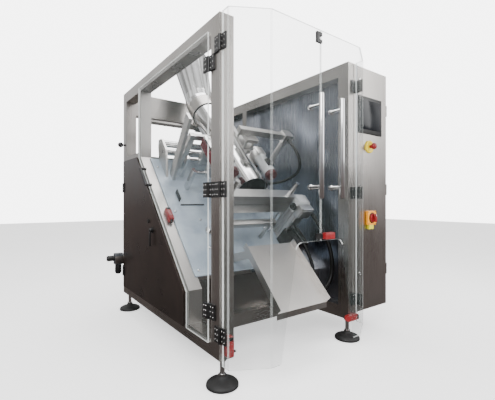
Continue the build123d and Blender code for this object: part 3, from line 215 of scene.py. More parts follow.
def polished(name, light, roughness=0.1):
    """Polished steel with a few wiping marks."""
    finish = Finish(name)
    marks = finish.noise((30, 30, 30), 5.0)
    cloud = finish.noise((3, 3, 3), 2.0)
    tone = finish.ramp(cloud, (0.3, tuple(c * 0.8 for c in rgb(light))), (0.7, rgb(light)))
    return finish.surface(Base_Color=tone, Metallic=1.0, Roughness=marks * 0.14 + (roughness - 0.03))


def hose_finish():
    """Black hose with a soft sheen and a faint wavy surface."""
    finish = Finish("black_hose_jacket")
    ripple = finish.noise((160, 160, 160), 2.0)
    wear = finish.noise((9, 9, 9), 4.0)
    tone = finish.ramp(wear, (0.35, rgb("060606")), (0.7, rgb("0D0D0D")))
    return finish.surface(Base_Color=tone, Specular_IOR_Level=0.3, Roughness=wear * 0.2 + 0.36,
                          Normal=finish.bump(ripple, 0.25, 0.0006))


def screen_glass():
    """Dark glass with a weak reflection."""
    finish = Finish("dark_screen_glass")
    marks = finish.noise((30, 30, 30), 5.0)
    cloud = finish.noise((3, 3, 3), 2.0)
    face = rgb("0E1116")
    tone = finish.ramp(cloud, (0.3, tuple(c * 0.8 for c in face)), (0.7, face))
    return finish.surface(Base_Color=tone, Specular_IOR_Level=0.22, Roughness=marks * 0.14 + 0.09)


def painted(name, light, dark, roughness, metallic=0.0, coat=0.0, orange_peel=0.15):
    """A painted or powder-coated surface: slight unevenness, and dust that dulls it in places."""
    finish = Finish(name)
    peel = finish.noise((260, 260, 260), 2.0)
    dust = finish.noise((7, 7, 5), 5.0)
    tone = finish.ramp(dust, (0.35, rgb(dark)), (0.65, rgb(light)))
    return finish.surface(Base_Color=tone, Metallic=metallic, Coat_Weight=coat,
                          Roughness=dust * 0.2 + (roughness - 0.1),
                          Normal=finish.bump(peel, orange_peel, 0.0003))


def moulded(name, code, roughness=0.45, grain=0.3):
    """Moulded plastic or rubber with a fine spark-eroded grain."""
    finish = Finish(name)
    pores = finish.noise((900, 900, 900), 2.0)
    wear = finish.noise((18, 18, 18), 4.0)
    base = rgb(code)
    tone = finish.ramp(wear, (0.35, base), (0.7, tuple(min(1, c * 1.3 + 0.006) for c in base)))
    return finish.surface(Base_Color=tone, Roughness=wear * 0.18 + (roughness - 0.09),
                          Normal=finish.bump(pores, grain, 0.0002))


def clear_sheet(name, mask):
    """Clear polycarbonate. Its cut edges and bend lines, where the mask is one, look denser and get a
    painted near-white highlight.
    """
    finish = Finish(name)
    edge_density_and_highlight = mask(finish)
    haze = finish.noise((4, 4, 4), 4.0)
    rim = finish.node("ShaderNodeLayerWeight", {}, {"Blend": 0.25}, "Facing")
    # Painted highlight: the masked edges and bends turn near-white, standing in for light caught in them,
    # and they also get more cover.
    tint_and_edge_highlight = finish.mix(edge_density_and_highlight, rgba("4A5251"), rgba("F2F6F4"))
    alpha = finish.math("ADD", haze * 0.03 + rim * 0.12 + 0.055, edge_density_and_highlight * 0.6, True)
    return finish.surface(Base_Color=tint_and_edge_highlight, Alpha=alpha, Roughness=haze * 0.06 + 0.03, IOR=1.5)


def near(value, middle, reach):
    """One where a value is within reach of a middle, else zero."""
    return abs(value - middle) < reach


def cabinet_steel(name):
    """Stainless outside, with the darker slate tone on the wall that faces the forming set."""
    finish = Finish(name)
    lines = finish.noise((420, 420, 3), 4.0)
    cloud = finish.noise((1.3, 1.3, 1.1), 2.0)
    inner = near(finish.part("X"), at(FRAME_WIDTH, 0, 0).x, 12 * MM)
    outside = finish.ramp(cloud, (0.36, rgb("9A9692")), (0.64, rgb("B9B5B1")))
    slate = finish.ramp(cloud, (0.36, rgb("656B76")), (0.64, rgb("9298A3")))
    return finish.surface(Base_Color=finish.mix(inner, outside, slate), Metallic=1.0,
                          Roughness=lines * 0.1 + cloud * 0.1 + 0.18)


def wing_edges(side):
    """A mask for a bent front sheet on one side of the middle: its cut edges and its bends, where the
    painted edge highlight goes.
    """
    def mask(finish):
        """One on the ends and the hinged edge, a half on the free edge and the bends, else zero."""
        x, y = finish.part("X"), finish.part("Y")
        across = (x - at(FRAME_WIDTH / 2, 0, 0).x) * side
        ends = finish.facing("Z") > 0.3
        free_edge = near(across, 2 * MM, 3 * MM)
        hinged_edge = near(y, at(0, -9, 0).y, 3 * MM)
        corner_bend = near(across, 510 * MM, 3 * MM) * near(y, at(0, -60, 0).y, 8 * MM)
        bends = near(across, 335 * MM, 1.7 * MM) + corner_bend
        return finish.math("MINIMUM", ends + free_edge * 0.5 + hinged_edge + bends * 0.5, 1.0)
    return mask


def flat_edges(finish):
    """A mask for the edges of the flat side sheet, where the painted edge highlight goes."""
    return finish.facing("X") < 0.5


STAINLESS_UP = brushed("stainless_upright", "B9B5B1", "9A9692", (420, 420, 3))
STAINLESS_LEVEL = brushed("stainless_level", "B9B5B1", "9A9692", (4, 4, 420))
STAINLESS_SLOPE = brushed("stainless_sloping", "C2BFBC", "A6A3A0", (420, 12, 12), 0.34)
STAINLESS_DARK = brushed("stainless_shaded", "8A8480", "6C6763", (360, 360, 3), 0.3)
CABINET_STEEL = cabinet_steel("cabinet_steel_sheet")
POLISHED = polished("polished_steel", "E2E2E2", 0.09)
MACHINED = brushed("machined_steel", "DEDDDB", "C6C5C3", (700, 700, 700), 0.34)
DARK_COVER = painted("brown_black_cover", "3A312D", "2B2522", 0.3, metallic=0.75, coat=0.2,
                     orange_peel=0.05)
SLOPE_PAINT = painted("pale_blue_grey_paint", "AEBBC6", "8E9BA8", 0.42, metallic=0.1, coat=0.15)
INNER_WALL = brushed("slate_steel_wall", "9298A3", "656B76", (300, 300, 3), 0.24)
GEAR_GREY = painted("cast_gear_grey", "5F6266", "3F4246", 0.5, metallic=0.55)
MOTOR_GREY = painted("light_motor_grey", "D3D5D6", "B4B7B9", 0.35, metallic=0.1, coat=0.2)
BLACK = moulded("black_plastic", "0C0C0C", 0.42)
BLACK_RUBBER = moulded("black_rubber", "0B0B0B", 0.6, grain=0.5)
RED = moulded("red_plastic", "7A1216", 0.35)
DARK_RED = moulded("dark_red_paint", "3C0A0D", 0.4)
YELLOW = moulded("yellow_plastic", "DE8E06", 0.38)
STOP_YELLOW = moulded("stop_yellow_plastic", "D2B80C", 0.38)
YELLOW_GREEN = moulded("yellow_green_plastic", "C2B80E", 0.4)
BELT_RED = moulded("red_belt", "4E0B16", 0.5, grain=0.6)
LIGHT_GREY = moulded("light_grey_plastic", "C9C9C6", 0.5)
WHITE_FACE = moulded("white_plastic", "E6E6E2", 0.45)
GLASS_FACE = screen_glass()
HOSE = hose_finish()
CLEAR_LEFT = clear_sheet("clear_left_sheet", wing_edges(-1))
CLEAR_RIGHT = clear_sheet("clear_right_sheet", wing_edges(1))
CLEAR_SIDE = clear_sheet("clear_side_sheet", flat_edges)

CAD_FINISHES = {
    "corner_posts": STAINLESS_UP, "frame_rails": STAINLESS_LEVEL, "slant_members": STAINLESS_SLOPE,
    "foot_pads": BLACK_RUBBER, "foot_spindles": POLISHED, "frame_panels": STAINLESS_DARK,
    "rear_cover": STAINLESS_LEVEL, "right_side_wall": INNER_WALL, "fixed_hinges": BLACK,
    "frame_switches": RED, "service_door_panel": DARK_COVER, "service_door_fittings": BLACK,
    "service_handle": BLACK, "left_door_panel": CLEAR_LEFT, "left_door_handle": POLISHED,
    "left_door_fittings": BLACK, "right_door_panel": CLEAR_RIGHT, "right_door_handle": POLISHED,
    "right_door_fittings": BLACK, "side_door_panel": CLEAR_SIDE, "side_door_fittings": BLACK,
    "cabinet_shell": CABINET_STEEL, "cabinet_gear": LIGHT_GREY, "cabinet_door": STAINLESS_UP,
    "screen": GLASS_FACE, "control_plates": YELLOW, "stop_button": RED, "main_switch_handle": RED,
    "slope_plate": SLOPE_PAINT, "forming_tube": POLISHED, "infeed_funnel": POLISHED,
    "forming_shoulder": STAINLESS_LEVEL, "support_arms": MACHINED, "guide_rods": POLISHED,
    "front_jaw": MACHINED, "rear_jaw": MACHINED, "knife": POLISHED, "jaw_drive": GEAR_GREY,
    "sealer_mount": MACHINED, "sealer_bar": MACHINED, "upper_roller": POLISHED,
    "lower_roller": POLISHED, "reel_shaft": POLISHED, "bearing_brackets": MACHINED,
    "discharge_chute": STAINLESS_SLOPE, "conduit_glands": BLACK, "air_unit": GEAR_GREY,
    "air_knob": BLACK, "ball_knob": BLACK, "left_belt": BELT_RED, "right_belt": BELT_RED,
    "left_belt_unit": MACHINED, "right_belt_unit": MACHINED, "left_drive_pulley": MACHINED,
    "right_drive_pulley": MACHINED, "left_idler_pulley": MACHINED, "right_idler_pulley": MACHINED,
}
for node_name, node_finish in CAD_FINISHES.items():
    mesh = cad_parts[node_name].data
    mesh.materials.clear()
    mesh.materials.append(node_finish)


# ---------------------------------------------------------------- modelling

def fresh():
    """Leaves nothing selected."""
    bpy.ops.object.select_all(action="DESELECT")


def settle(made, finish):
    """Applies a new object's place to its mesh and gives it its finish."""
    fresh()
    made.select_set(True)
    bpy.context.view_layer.objects.active = made
    bpy.ops.object.transform_apply(location=True, rotation=True, scale=True)
    made.data.materials.clear()
    made.data.materials.append(finish)
    return made


def rounded(made, width):
    """Rounds the sharp edges with an applied bevel."""
    bpy.context.view_layer.objects.active = made
    bevel = made.modifiers.new("rounding", "BEVEL")
    bevel.width, bevel.segments, bevel.limit_method = width * MM, 2, "ANGLE"
    bevel.angle_limit = math.radians(30)
    bpy.ops.object.modifier_apply(modifier=bevel.name)
    return made


def bar(middle, size, finish, round_by=1.0, across=ALONG_X, up=ALONG_Z):
    """A block with rounded edges: its middle point, its size in millimetres and its two axes."""
    fresh()
    bpy.ops.mesh.primitive_cube_add(size=1)
    made = bpy.context.object
    made.scale = [value * MM for value in size]
    bpy.ops.object.transform_apply(location=False, rotation=False, scale=True)
    if round_by:
        rounded(made, round_by)
    axes = Matrix((across, up.cross(across), up)).transposed()
    made.rotation_mode = "QUATERNION"
    made.rotation_quaternion = axes.to_quaternion()
    made.location = middle
    return settle(made, finish)


def slope_bar(x, up, off, finish, round_by=1.0):
    """A block on the slope's own axes, from its lowest and highest values along each."""
    middle = on_slope(sum(x) / 2, sum(up) / 2, sum(off) / 2)
    size = (x[1] - x[0], up[1] - up[0], off[1] - off[0])
    return bar(middle, size, finish, round_by, ALONG_X, OFF_SLOPE)


def turned(start, way, profile, finish, sides=32):
    """A turned shape: rings of radius and distance along an axis, in millimetres, with flat ends."""
    fresh()
    first = profile[0]
    bpy.ops.mesh.primitive_circle_add(vertices=sides, radius=first[0] * MM, fill_type="NGON",
                                      location=(0, 0, first[1] * MM))
    made = bpy.context.object
    bpy.ops.object.mode_set(mode="EDIT")
    bpy.ops.mesh.select_all(action="SELECT")
    before = first
    for radius, along in profile[1:]:
        bpy.ops.mesh.extrude_region_move(
            TRANSFORM_OT_translate={"value": (0, 0, (along - before[1]) * MM)})
        ratio = radius / before[0]
        bpy.ops.transform.resize(value=(ratio, ratio, 1))
        before = (radius, along)
    bpy.ops.mesh.select_all(action="SELECT")
    bpy.ops.mesh.normals_make_consistent(inside=False)
    bpy.ops.object.mode_set(mode="OBJECT")
    made.rotation_mode = "QUATERNION"
    made.rotation_quaternion = way.to_track_quat("Z", "Y")
    made.location = start
    return settle(made, finish)


def copied(made, shift):
    """A copy with its own mesh, moved by a vector."""
    twin = made.copy()
    twin.data = made.data.copy()
    bpy.context.collection.objects.link(twin)
    twin.location = shift
    fresh()
    twin.select_set(True)
    bpy.context.view_layer.objects.active = twin
    bpy.ops.object.transform_apply(location=True, rotation=False, scale=False)
    return twin


def copies(made, shifts):
    """What was modelled first, and a copy for each shift."""
    return [made] + [copied(made, shift) for shift in shifts]


def row(made, step, count):
    """What was modelled first, and its copies at equal steps."""
    return copies(made, [step * index for index in range(1, count)])


def placed(made, places):
    """What was modelled at the first place, and its copies at the others."""
    return copies(made, [place - places[0] for place in places[1:]])


def reflected(made):
    """A copy on the other side of the machine's middle."""
    twin = made.copy()
    twin.data = made.data.copy()
    bpy.context.collection.objects.link(twin)
    middle = at(FRAME_WIDTH / 2, 0, 0).x
    twin.scale = (-1, 1, 1)
    twin.location = (2 * middle, 0, 0)
    fresh()
    twin.select_set(True)
    bpy.context.view_layer.objects.active = twin
    bpy.ops.object.transform_apply(location=True, rotation=True, scale=True)
    bpy.ops.object.mode_set(mode="EDIT")
    bpy.ops.mesh.select_all(action="SELECT")
    bpy.ops.mesh.normals_make_consistent(inside=False)
    bpy.ops.object.mode_set(mode="OBJECT")
    return twin


def piece(name, parts, body, replaces=()):
    """Joins parts into one named piece that rides on a body."""
    fresh()
    for part in parts:
        part.select_set(True)
    bpy.context.view_layer.objects.active = parts[0]
    if len(parts) > 1:
        bpy.ops.object.join()
    made = bpy.context.object
    made.name = name
    bpy.ops.object.shade_smooth_by_angle(angle=SHARP)
    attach(made, body)
    if replaces:
        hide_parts(*replaces)
    return made


def screws(places, way, radius, finish=POLISHED):
    """Button-head socket screws that stand on a surface."""
    profile = [(radius, 0), (radius, 0.35 * radius), (radius * 0.75, 0.75 * radius),
               (radius * 0.5, 0.8 * radius), (radius * 0.45, 0.35 * radius)]
    return placed(turned(places[0], way, profile, finish, 12), places)


# ---------------------------------------------------------------- conduits

def conduit(name, node, points, diameter):
    """A free cable conduit: a smooth line through its route, thickened to its diameter."""
    curve = bpy.data.curves.new(name, "CURVE")
    curve.dimensions = "3D"
    curve.bevel_depth = diameter / 2
    curve.bevel_resolution = 5
    line = curve.splines.new("NURBS")
    line.points.add(len(points) - 1)
    for control, point in zip(line.points, points):
        control.co = (*point, 1)
    line.order_u = 3
    line.use_endpoint_u = True
    line.resolution_u = 12
    curve.use_fill_caps = True
    curve.materials.append(HOSE)
    made = bpy.data.objects.new(name, curve)
    bpy.context.collection.objects.link(made)
    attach(made, "machine")
    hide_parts(node)


conduit("upper_hose", "upper_conduit",
        [on_slope(850, -405, 562), on_slope(850, -465, 562), at(866, 352, 1217), at(890, 357, 1156),
         at(908, 400, 1106), at(908, 462, 1075), at(882, 523, 1049), at(832, 557.5, 1031.3),
         at(775, 557.5, 1031.3)], 0.022)
conduit("motor_hose", "motor_conduit",
        [on_slope(950, -794, 290), on_slope(950, -854, 290), at(968, 258, 742), at(986, 216, 668),
         at(996, 182, 588), at(998, 162, 500), at(998, 162, 400), at(958, 162, 330),
         at(888, 162, 290), at(808, 162, 290), at(738, 202, 290), at(698, 272, 290),
         at(698, 352, 290)], 0.028)
conduit("jaw_hose", "jaw_conduit",
        [on_slope(840, -884, 171), on_slope(840, -944, 171), at(847, 276, 602), at(855, 240, 534),
         at(857, 212, 466), at(853, 196, 404), at(845, 201, 343), at(835, 236, 295),
         at(826, 292, 270), at(826, 352, 270)], 0.024)


# ---------------------------------------------------------------- floor, light and camera

def stage_floor():
    """A wide pale floor that only the studio shows."""
    fresh()
    bpy.ops.mesh.primitive_plane_add(size=30, location=(0, 0, 0))
    floor = bpy.context.object
    floor.name = "studio_floor"
    finish = Finish("pale_floor")
    dust = finish.noise((0.6, 0.6, 1), 3.0)
    tone = finish.ramp(dust, (0.3, rgb("F4F4F4")), (0.7, rgb("FAFAFA")))
    floor.data.materials.append(finish.surface(
        Base_Color=tone, Roughness=0.9, Emission_Color=rgba("FFFFFF"), Emission_Strength=0.9))
    floor.visible_glossy = False


def studio_world():
    """White to the camera. Metal reflects a darker lower half and soft bands."""
    world = bpy.data.worlds.new("studio")
    bpy.context.scene.world = world
    world.use_nodes = True
    studio = Nodes(world.node_tree)
    way = studio.node("ShaderNodeTexCoord", {}, {}, "Generated")
    height = studio.node("ShaderNodeSeparateXYZ", {}, {0: way}, "Z") * 0.5 + 0.5
    levels = studio.ramp(height, (0.0, (0.2, 0.19, 0.18)), (0.34, (0.15, 0.13, 0.125)),
                         (0.49, (0.27, 0.22, 0.21)), (0.56, (0.85, 0.86, 0.88)), (0.72, (1.5, 1.5, 1.5)),
                         (1.0, (1.9, 1.9, 1.9)))
    bands = studio.node("ShaderNodeTexNoise", {}, {"Vector": way, "Scale": 2.6, "Detail": 1.5})
    shade = studio.ramp(bands, (0.38, (0.35, 0.34, 0.33)), (0.56, (1, 1, 1)))
    room = studio.mix(1.0, levels, shade, "MULTIPLY")
    to_camera = studio.node("ShaderNodeLightPath", {}, {}, "Is Camera Ray")
    seen = studio.mix(to_camera, room, (6, 6, 6, 1))
    studio.feed(studio.tree.nodes["Background"], {"Color": seen})


def soft_light(name, place, aim, size, power):
    """A square area light, given in metres and watts, turned to its aim."""
    light = bpy.data.lights.new(name, "AREA")
    light.shape, light.size, light.energy = "SQUARE", size, power
    made = bpy.data.objects.new(name, light)
    bpy.context.collection.objects.link(made)
    made.location = place
    made.rotation_euler = (Vector(aim) - Vector(place)).to_track_quat("-Z", "Y").to_euler()


def camera():
    """At eye level, in front of the frame's left corner."""
    data = bpy.data.cameras.new("camera")
    data.lens, data.sensor_width, data.shift_y = 24.51, 36, 0.004
    made = bpy.data.objects.new("camera", data)
    bpy.context.collection.objects.link(made)
    made.location = at(-830, -1356, 892)
    made.rotation_euler = (math.radians(90), 0, math.radians(-36.2))
    bpy.context.scene.camera = made


stage_floor()
studio_world()
soft_light("key", (-3.0, -2.6, 3.6), (0, 0, 1.0), 2.6, 190)
soft_light("fill", (2.6, -3.4, 2.6), (0, 0, 0.9), 2.4, 90)
soft_light("top", (0.0, 0.4, 4.2), (0, 0, 1.0), 2.2, 120)
camera()


# ---------------------------------------------------------------- door handles

HANDLE_X, HANDLE_Y, HANDLE_LOW = 441, -235, 907
SHEET_FACE, SHEET_THICKNESS = -163, 8
STANDOFF_LOW, STANDOFF_HIGH = 967, 1370


def door_handle():
    """A polished bar with rounded ends on two standoffs, each with a washer behind the sheet."""
    grip = turned(at(HANDLE_X, HANDLE_Y, HANDLE_LOW), ALONG_Z,
                  [(7, 0), (11, 1), (12.6, 3.5), (13, 7), (13, 516), (12.6, 519.5), (11, 522), (7, 523)],
                  POLISHED, 40)
    standoff = turned(at(HANDLE_X, SHEET_FACE, STANDOFF_LOW), -ALONG_Y,
                      [(15, 0), (15, 3), (13.6, 4.4), (10.5, 5), (10, 7), (10, 60), (11.5, 62), (11.5, 70)],
                      POLISHED)
    washer = turned(at(HANDLE_X, SHEET_FACE + SHEET_THICKNESS, STANDOFF_LOW), ALONG_Y,
                    [(12, 0), (12, 2.5), (10.5, 4), (5, 4), (4.5, 1.5)], POLISHED, 24)
    rise = ALONG_Z * (STANDOFF_HIGH - STANDOFF_LOW) * MM
    return [grip] + copies(standoff, [rise]) + copies(washer, [rise])


left_handle = piece("left_handle", door_handle(), "left_door", ["left_door_handle"])
piece("right_handle", [reflected(left_handle)], "right_door", ["right_door_handle"])


# ---------------------------------------------------------------- feet

PAD_HEIGHT = 50


def levelling_pads():
    """Four rubber pads with domed tops and hexagon necks."""
    places = [at(x, y, 0) for x in (40, 1000) for y in (40, 1495)]
    pad = turned(places[0], ALONG_Z,
                 [(76, 0), (80, 2), (80, 11), (78.5, 15), (72, 21), (60, 27), (46, 32), (33, 37),
                  (25, 42), (21, 46), (20, PAD_HEIGHT)], BLACK_RUBBER, 48)
    neck = turned(places[0] + ALONG_Z * PAD_HEIGHT * MM, ALONG_Z,
                  [(19, 0), (20, 1), (20, 9), (18, 10)], POLISHED, 6)
    return placed(pad, places) + placed(neck, places)


piece("levelling_pads", levelling_pads(), "machine", ["foot_pads"])


# ---------------------------------------------------------------- jaw gearmotor

BRACKET_TOP, CASE_TOP, COVER_TOP = 256, 344, 130


def jaw_gearmotor():
    """A finned motor and its gear case on a ribbed bracket, with the beam and side cover."""
    foot = slope_bar((815, 905), (-860, -730), (PLATE_FACE, 22), MACHINED)
    web = slope_bar((822, 898), (-856, -734), (22, BRACKET_TOP), MACHINED, 3)
    rib = slope_bar((815, 905), (-848, -842), (22, 250), MACHINED)
    ribs = copies(rib, [UP_SLOPE * rise * MM for rise in (36, 72, 104)])
    case = slope_bar((810, 926), (-870, -812), (BRACKET_TOP, CASE_TOP), MACHINED, 6)
    end_cap = slope_bar((818, 918), (-876, -866), (266, 334), MACHINED, 3)
    motor = slope_bar((811, 925), (-812, -715), (262, CASE_TOP), MOTOR_GREY, 9)
    fins = row(slope_bar((806, 930), (-806, -801), (257, 349), MOTOR_GREY, 2), UP_SLOPE * 12 * MM, 7)
    lid = slope_bar((830, 906), (-800, -728), (CASE_TOP, 350), MOTOR_GREY, 2)
    terminal_box = slope_bar((926, 970), (-770, -718), (268, 312), BLACK, 4)
    box_ribs = row(slope_bar((936, 971), (-764, -759), (266, 314), BLACK, 1), UP_SLOPE * 14 * MM, 3)
    cable_entry = turned(on_slope(812, -795, 300), -ALONG_X,
                         [(26, 0), (26, 8), (20, 10), (20, 14), (14, 16), (14, 30), (12, 32)], BLACK, 28)
    case_screws = screws([on_slope(x, up, CASE_TOP) for x in (818, 918) for up in (-862, -820)],
                         OFF_SLOPE, 4.5)
    beam = slope_bar((300, 700), (-840, -800), (150, 190), MACHINED, 2)
    beam_posts = row(slope_bar((330, 350), (-830, -810), (PLATE_FACE, 152), MACHINED),
                     ALONG_X * 320 * MM, 2)
    cover = slope_bar((800, 940), (-1000, -845), (PLATE_FACE, COVER_TOP), DARK_COVER, 3)
    cover_screws = screws([on_slope(x, up, COVER_TOP) for x in (812, 928) for up in (-988, -857)],
                          OFF_SLOPE, 5)
    return [foot, web, case, end_cap, motor, lid, terminal_box, cable_entry, beam, cover,
            *ribs, *fins, *box_ribs, *case_screws, *beam_posts, *cover_screws]


piece("jaw_gearmotor", jaw_gearmotor(), "machine", ["jaw_drive"])


# ---------------------------------------------------------------- belt units

BELT_X, BELT_LOW, BELT_HIGH = 370.6, -373, -157
PULLEY_PLATE_STEP, PULLEY_PLATE_TOP = 78, 344
BELT_MOTOR_X, BELT_MOTOR_OFF = BELT_X - 11, 387


def belt_unit():
    """Pulley plates with their spacer and slide bushes, a gear case and a finned motor."""
    x, low, high = BELT_X, BELT_LOW, BELT_HIGH
    spacer = slope_bar((x - 10, x + 10), (low + 60, high - 60), (257, 343), MACHINED)
    plate = slope_bar((x - 30, x + 30), (low - 26, high + 26), (256, 266), MACHINED, 2)
    plates = row(plate, OFF_SLOPE * PULLEY_PLATE_STEP * MM, 2)
    bush = slope_bar((x - 28, x + 28), (low + 18, low + 62), (143, 256), MACHINED, 3)
    bushes = copies(bush, [UP_SLOPE * (high - low - 80) * MM])
    plate_screws = screws([on_slope(x + aside, up, PULLEY_PLATE_TOP)
                           for up in (low + 40, high - 40) for aside in (-19, 19)], OFF_SLOPE, 4)
    case = slope_bar((x - 48, x + 26), (low - 26, low + 62), (PULLEY_PLATE_TOP, 430), MACHINED, 8)
    case_ring = slope_bar((x - 42, x + 20), (low + 58, low + 66), (350, 424), MACHINED, 3)
    motor = turned(on_slope(BELT_MOTOR_X, low - 22, BELT_MOTOR_OFF), -UP_SLOPE,
                   [(43, 0), (43, 12), (39, 14), (39, 150), (41, 152), (41, 164)], MOTOR_GREY, 40)
    fan_cover = turned(on_slope(BELT_MOTOR_X, low - 182, BELT_MOTOR_OFF), -UP_SLOPE,
                       [(41, 0), (42, 2), (42, 26), (38, 33), (20, 34)], DARK_RED, 40)
    fin = turned(on_slope(BELT_MOTOR_X, low - 42, BELT_MOTOR_OFF), -UP_SLOPE,
                 [(42, 0), (43, 1), (43, 4), (42, 5)], MOTOR_GREY, 40)
    fins = row(fin, UP_SLOPE * -13 * MM, 10)
    terminal_box = slope_bar((BELT_MOTOR_X - 20, BELT_MOTOR_X + 20), (low - 150, low - 84), (424, 440),
                             BLACK, 3)
    return [spacer, case, case_ring, motor, fan_cover, terminal_box,
            *plates, *bushes, *plate_screws, *fins]


left_unit = piece("left_belt_drive", belt_unit(), "left_pull", ["left_belt_unit"])
piece("right_belt_drive", [reflected(left_unit)], "right_pull", ["right_belt_unit"])


# ---------------------------------------------------------------- cabinet controls

STOP_X, STOP_Z = 1181, 1265
SWITCH_X, SWITCH_Z, SWITCH_PLATE = 1190, 785, 20
SCREEN_X, SCREEN_Z = 1192, 1473
LOCK_X, LOCK_LEVELS = 1078, (420, 1000, 1700)


def control_escutcheons():
    """The stop button's yellow ring and the main switch's plate with its lower tab."""
    ring = turned(at(STOP_X, 0, STOP_Z), -ALONG_Y,
                  [(42, 0), (42, 8), (40, 11), (37, 12), (27, 12), (24, 10), (13, 10)], STOP_YELLOW, 48)
    plate = bar(at(SWITCH_X, -SWITCH_PLATE / 2, SWITCH_Z), (95, SWITCH_PLATE, 95), YELLOW, 4)
    tab = bar(at(SWITCH_X - 7, -SWITCH_PLATE / 2, SWITCH_Z - 61), (52, SWITCH_PLATE, 28.5), YELLOW_GREEN, 3)
    seat = turned(at(SWITCH_X, -19, SWITCH_Z), -ALONG_Y, [(36, 0), (36, 1.2), (34, 1.5)], BLACK, 40)
    corners = [at(SWITCH_X + x, -SWITCH_PLATE, SWITCH_Z + z) for x in (-40, 40) for z in (-40, 40)]
    return [ring, plate, tab, seat, *screws(corners, -ALONG_Y, 3, BLACK)]


def stop_mushroom():
    """A shaft and its domed red head."""
    return [turned(at(STOP_X, 0, STOP_Z), -ALONG_Y,
                   [(11, -10), (11, 19), (16, 19.5), (20, 21), (21, 27), (20.5, 34), (17, 40), (10, 43.4),
                    (4, 44)], RED, 40)]


def rotary_handle():
    """A round switch base with a grip across it and a white pointer."""
    base = turned(at(SWITCH_X, 14, SWITCH_Z), -ALONG_Y,
                  [(6, 0), (6, 34.6), (30, 34.8), (30, 43), (28, 45.6), (12, 46)], RED, 40)
    grip = bar(at(SWITCH_X, -42, SWITCH_Z), (18, 20, 54), RED, 3)
    pointer = bar(at(SWITCH_X, -52.2, SWITCH_Z + 18), (4, 1, 10), WHITE_FACE, 0.2)
    return [base, grip, pointer]


def touch_screen():
    """A dark bezel with a glass face on it."""
    bezel = bar(at(SCREEN_X, -3, SCREEN_Z), (260, 6, 248), BLACK, 2)
    glass = bar(at(SCREEN_X, -6.2, SCREEN_Z + 3), (226, 1, 196), GLASS_FACE, 0.4)
    return [bezel, glass]


def cabinet_locks():
    """Three quarter-turn locks down the lid's closing edge."""
    places = [at(LOCK_X, 0, level) for level in LOCK_LEVELS]
    lock = turned(places[0], -ALONG_Y, [(11, 0), (11, 3), (9, 4.5), (5, 4.5), (4, 2.5)], POLISHED, 28)
    return placed(lock, places)


piece("control_escutcheons", control_escutcheons(), "cabinet_lid", ["control_plates"])
piece("stop_mushroom", stop_mushroom(), "stop_control", ["stop_button"])
piece("rotary_handle", rotary_handle(), "main_switch", ["main_switch_handle"])
piece("touch_screen", touch_screen(), "cabinet_lid", ["screen"])
piece("cabinet_locks", cabinet_locks(), "cabinet_lid")


# ---------------------------------------------------------------- interlock switches

SWITCH_LENGTH, SWITCH_WIDTH, SWITCH_DEPTH = 96, 34, 40


def interlock(middle, along, face):
    """A red switch body with a raised lid, a dark key slot and two screws."""
    front = middle + face * SWITCH_DEPTH / 2 * MM
    lid_middle = front - face * 3 * MM
    end = along * SWITCH_LENGTH / 2 * MM
    body = bar(middle - face * 2 * MM, (SWITCH_LENGTH, SWITCH_WIDTH, SWITCH_DEPTH - 4), RED, 3, along, face)
    lid = bar(lid_middle - along * 8 * MM, (SWITCH_LENGTH - 22, SWITCH_WIDTH - 4, 6), RED, 2, along, face)
    key_slot = bar(lid_middle + end - along * 9 * MM, (14, SWITCH_WIDTH - 8, 6), BLACK, 1, along, face)
    aside = end - along * 30 * MM
    seat = front - face * 0.3 * MM
    return [body, lid, key_slot, *screws([seat - aside, seat + aside], face, 2.6)]


def interlock_switches():
    """The slope's switch and two on the frame's front, with two cable glands."""
    parts = interlock(on_slope(41, -592, 20), UP_SLOPE, OFF_SLOPE)
    parts += interlock(at(41, -20, 210), ALONG_Z, -ALONG_Y)
    parts += interlock(at(970, -20, 159), ALONG_X, -ALONG_Y)
    for place, way in ((on_slope(41, -640, 18), -UP_SLOPE), (at(58, -20, 180), ALONG_X)):
        parts.append(turned(place, way, [(9, 0), (9, 6), (6.5, 8), (6.5, 16), (5, 18)], BLACK, 18))
    return parts


piece("interlock_switches", interlock_switches(), "machine", ["frame_switches"])


# ---------------------------------------------------------------- hinge screws and door fittings

LEAF_SCREW = 3.6
LEFT_LEAF_X, RIGHT_LEAF_X = -8, 1042


def leaf_screws(hinges, first, second, way):
    """Two columns of three screws on one leaf of every hinge: each column by its x and y."""
    levels = [level + rise for level in hinges for rise in (-24, 0, 24)]
    places = [at(x, y, level) for level in levels for x, y in (first, second)]
    return screws(places, way, LEAF_SCREW)


def door_switch_cap():
    """The raised cap, lid and gland on the switch that the right door carries."""
    cap = bar(at(561, -177.4, 715), (73, 28.8, 35), RED, 3)
    lid = bar(at(549, -192, 715), (36, 1.5, 24), RED, 0.5)
    gland = turned(at(596, -177, 715), ALONG_X, [(8, -2), (8, 4), (6, 6), (6, 10)], BLACK, 18)
    return [cap, lid, gland]


post_leaves = leaf_screws(FRONT_HINGES, (LEFT_LEAF_X, 8), (LEFT_LEAF_X, 27), -ALONG_X)
post_leaves += leaf_screws(FRONT_HINGES, (1000, -6), (1024, -6), -ALONG_Y)
post_leaves += leaf_screws(SIDE_HINGES, (LEFT_LEAF_X, 50), (LEFT_LEAF_X, 72), -ALONG_X)
left_leaves = leaf_screws(FRONT_HINGES, (0, -20), (0, -40), -ALONG_X)
right_leaves = leaf_screws(FRONT_HINGES, (RIGHT_LEAF_X, -20), (RIGHT_LEAF_X, -40), ALONG_X)
side_leaves = leaf_screws(SIDE_HINGES, (-18, 101), (-18, 118), -ALONG_X)
piece("post_hinge_screws", post_leaves, "machine")
piece("left_hinge_screws", left_leaves, "left_door")
piece("right_hinge_screws", right_leaves, "right_door")
piece("side_hinge_screws", side_leaves, "side_door")
piece("door_switch_cap", door_switch_cap(), "right_door")


# ---------------------------------------------------------------- slope plate fixings

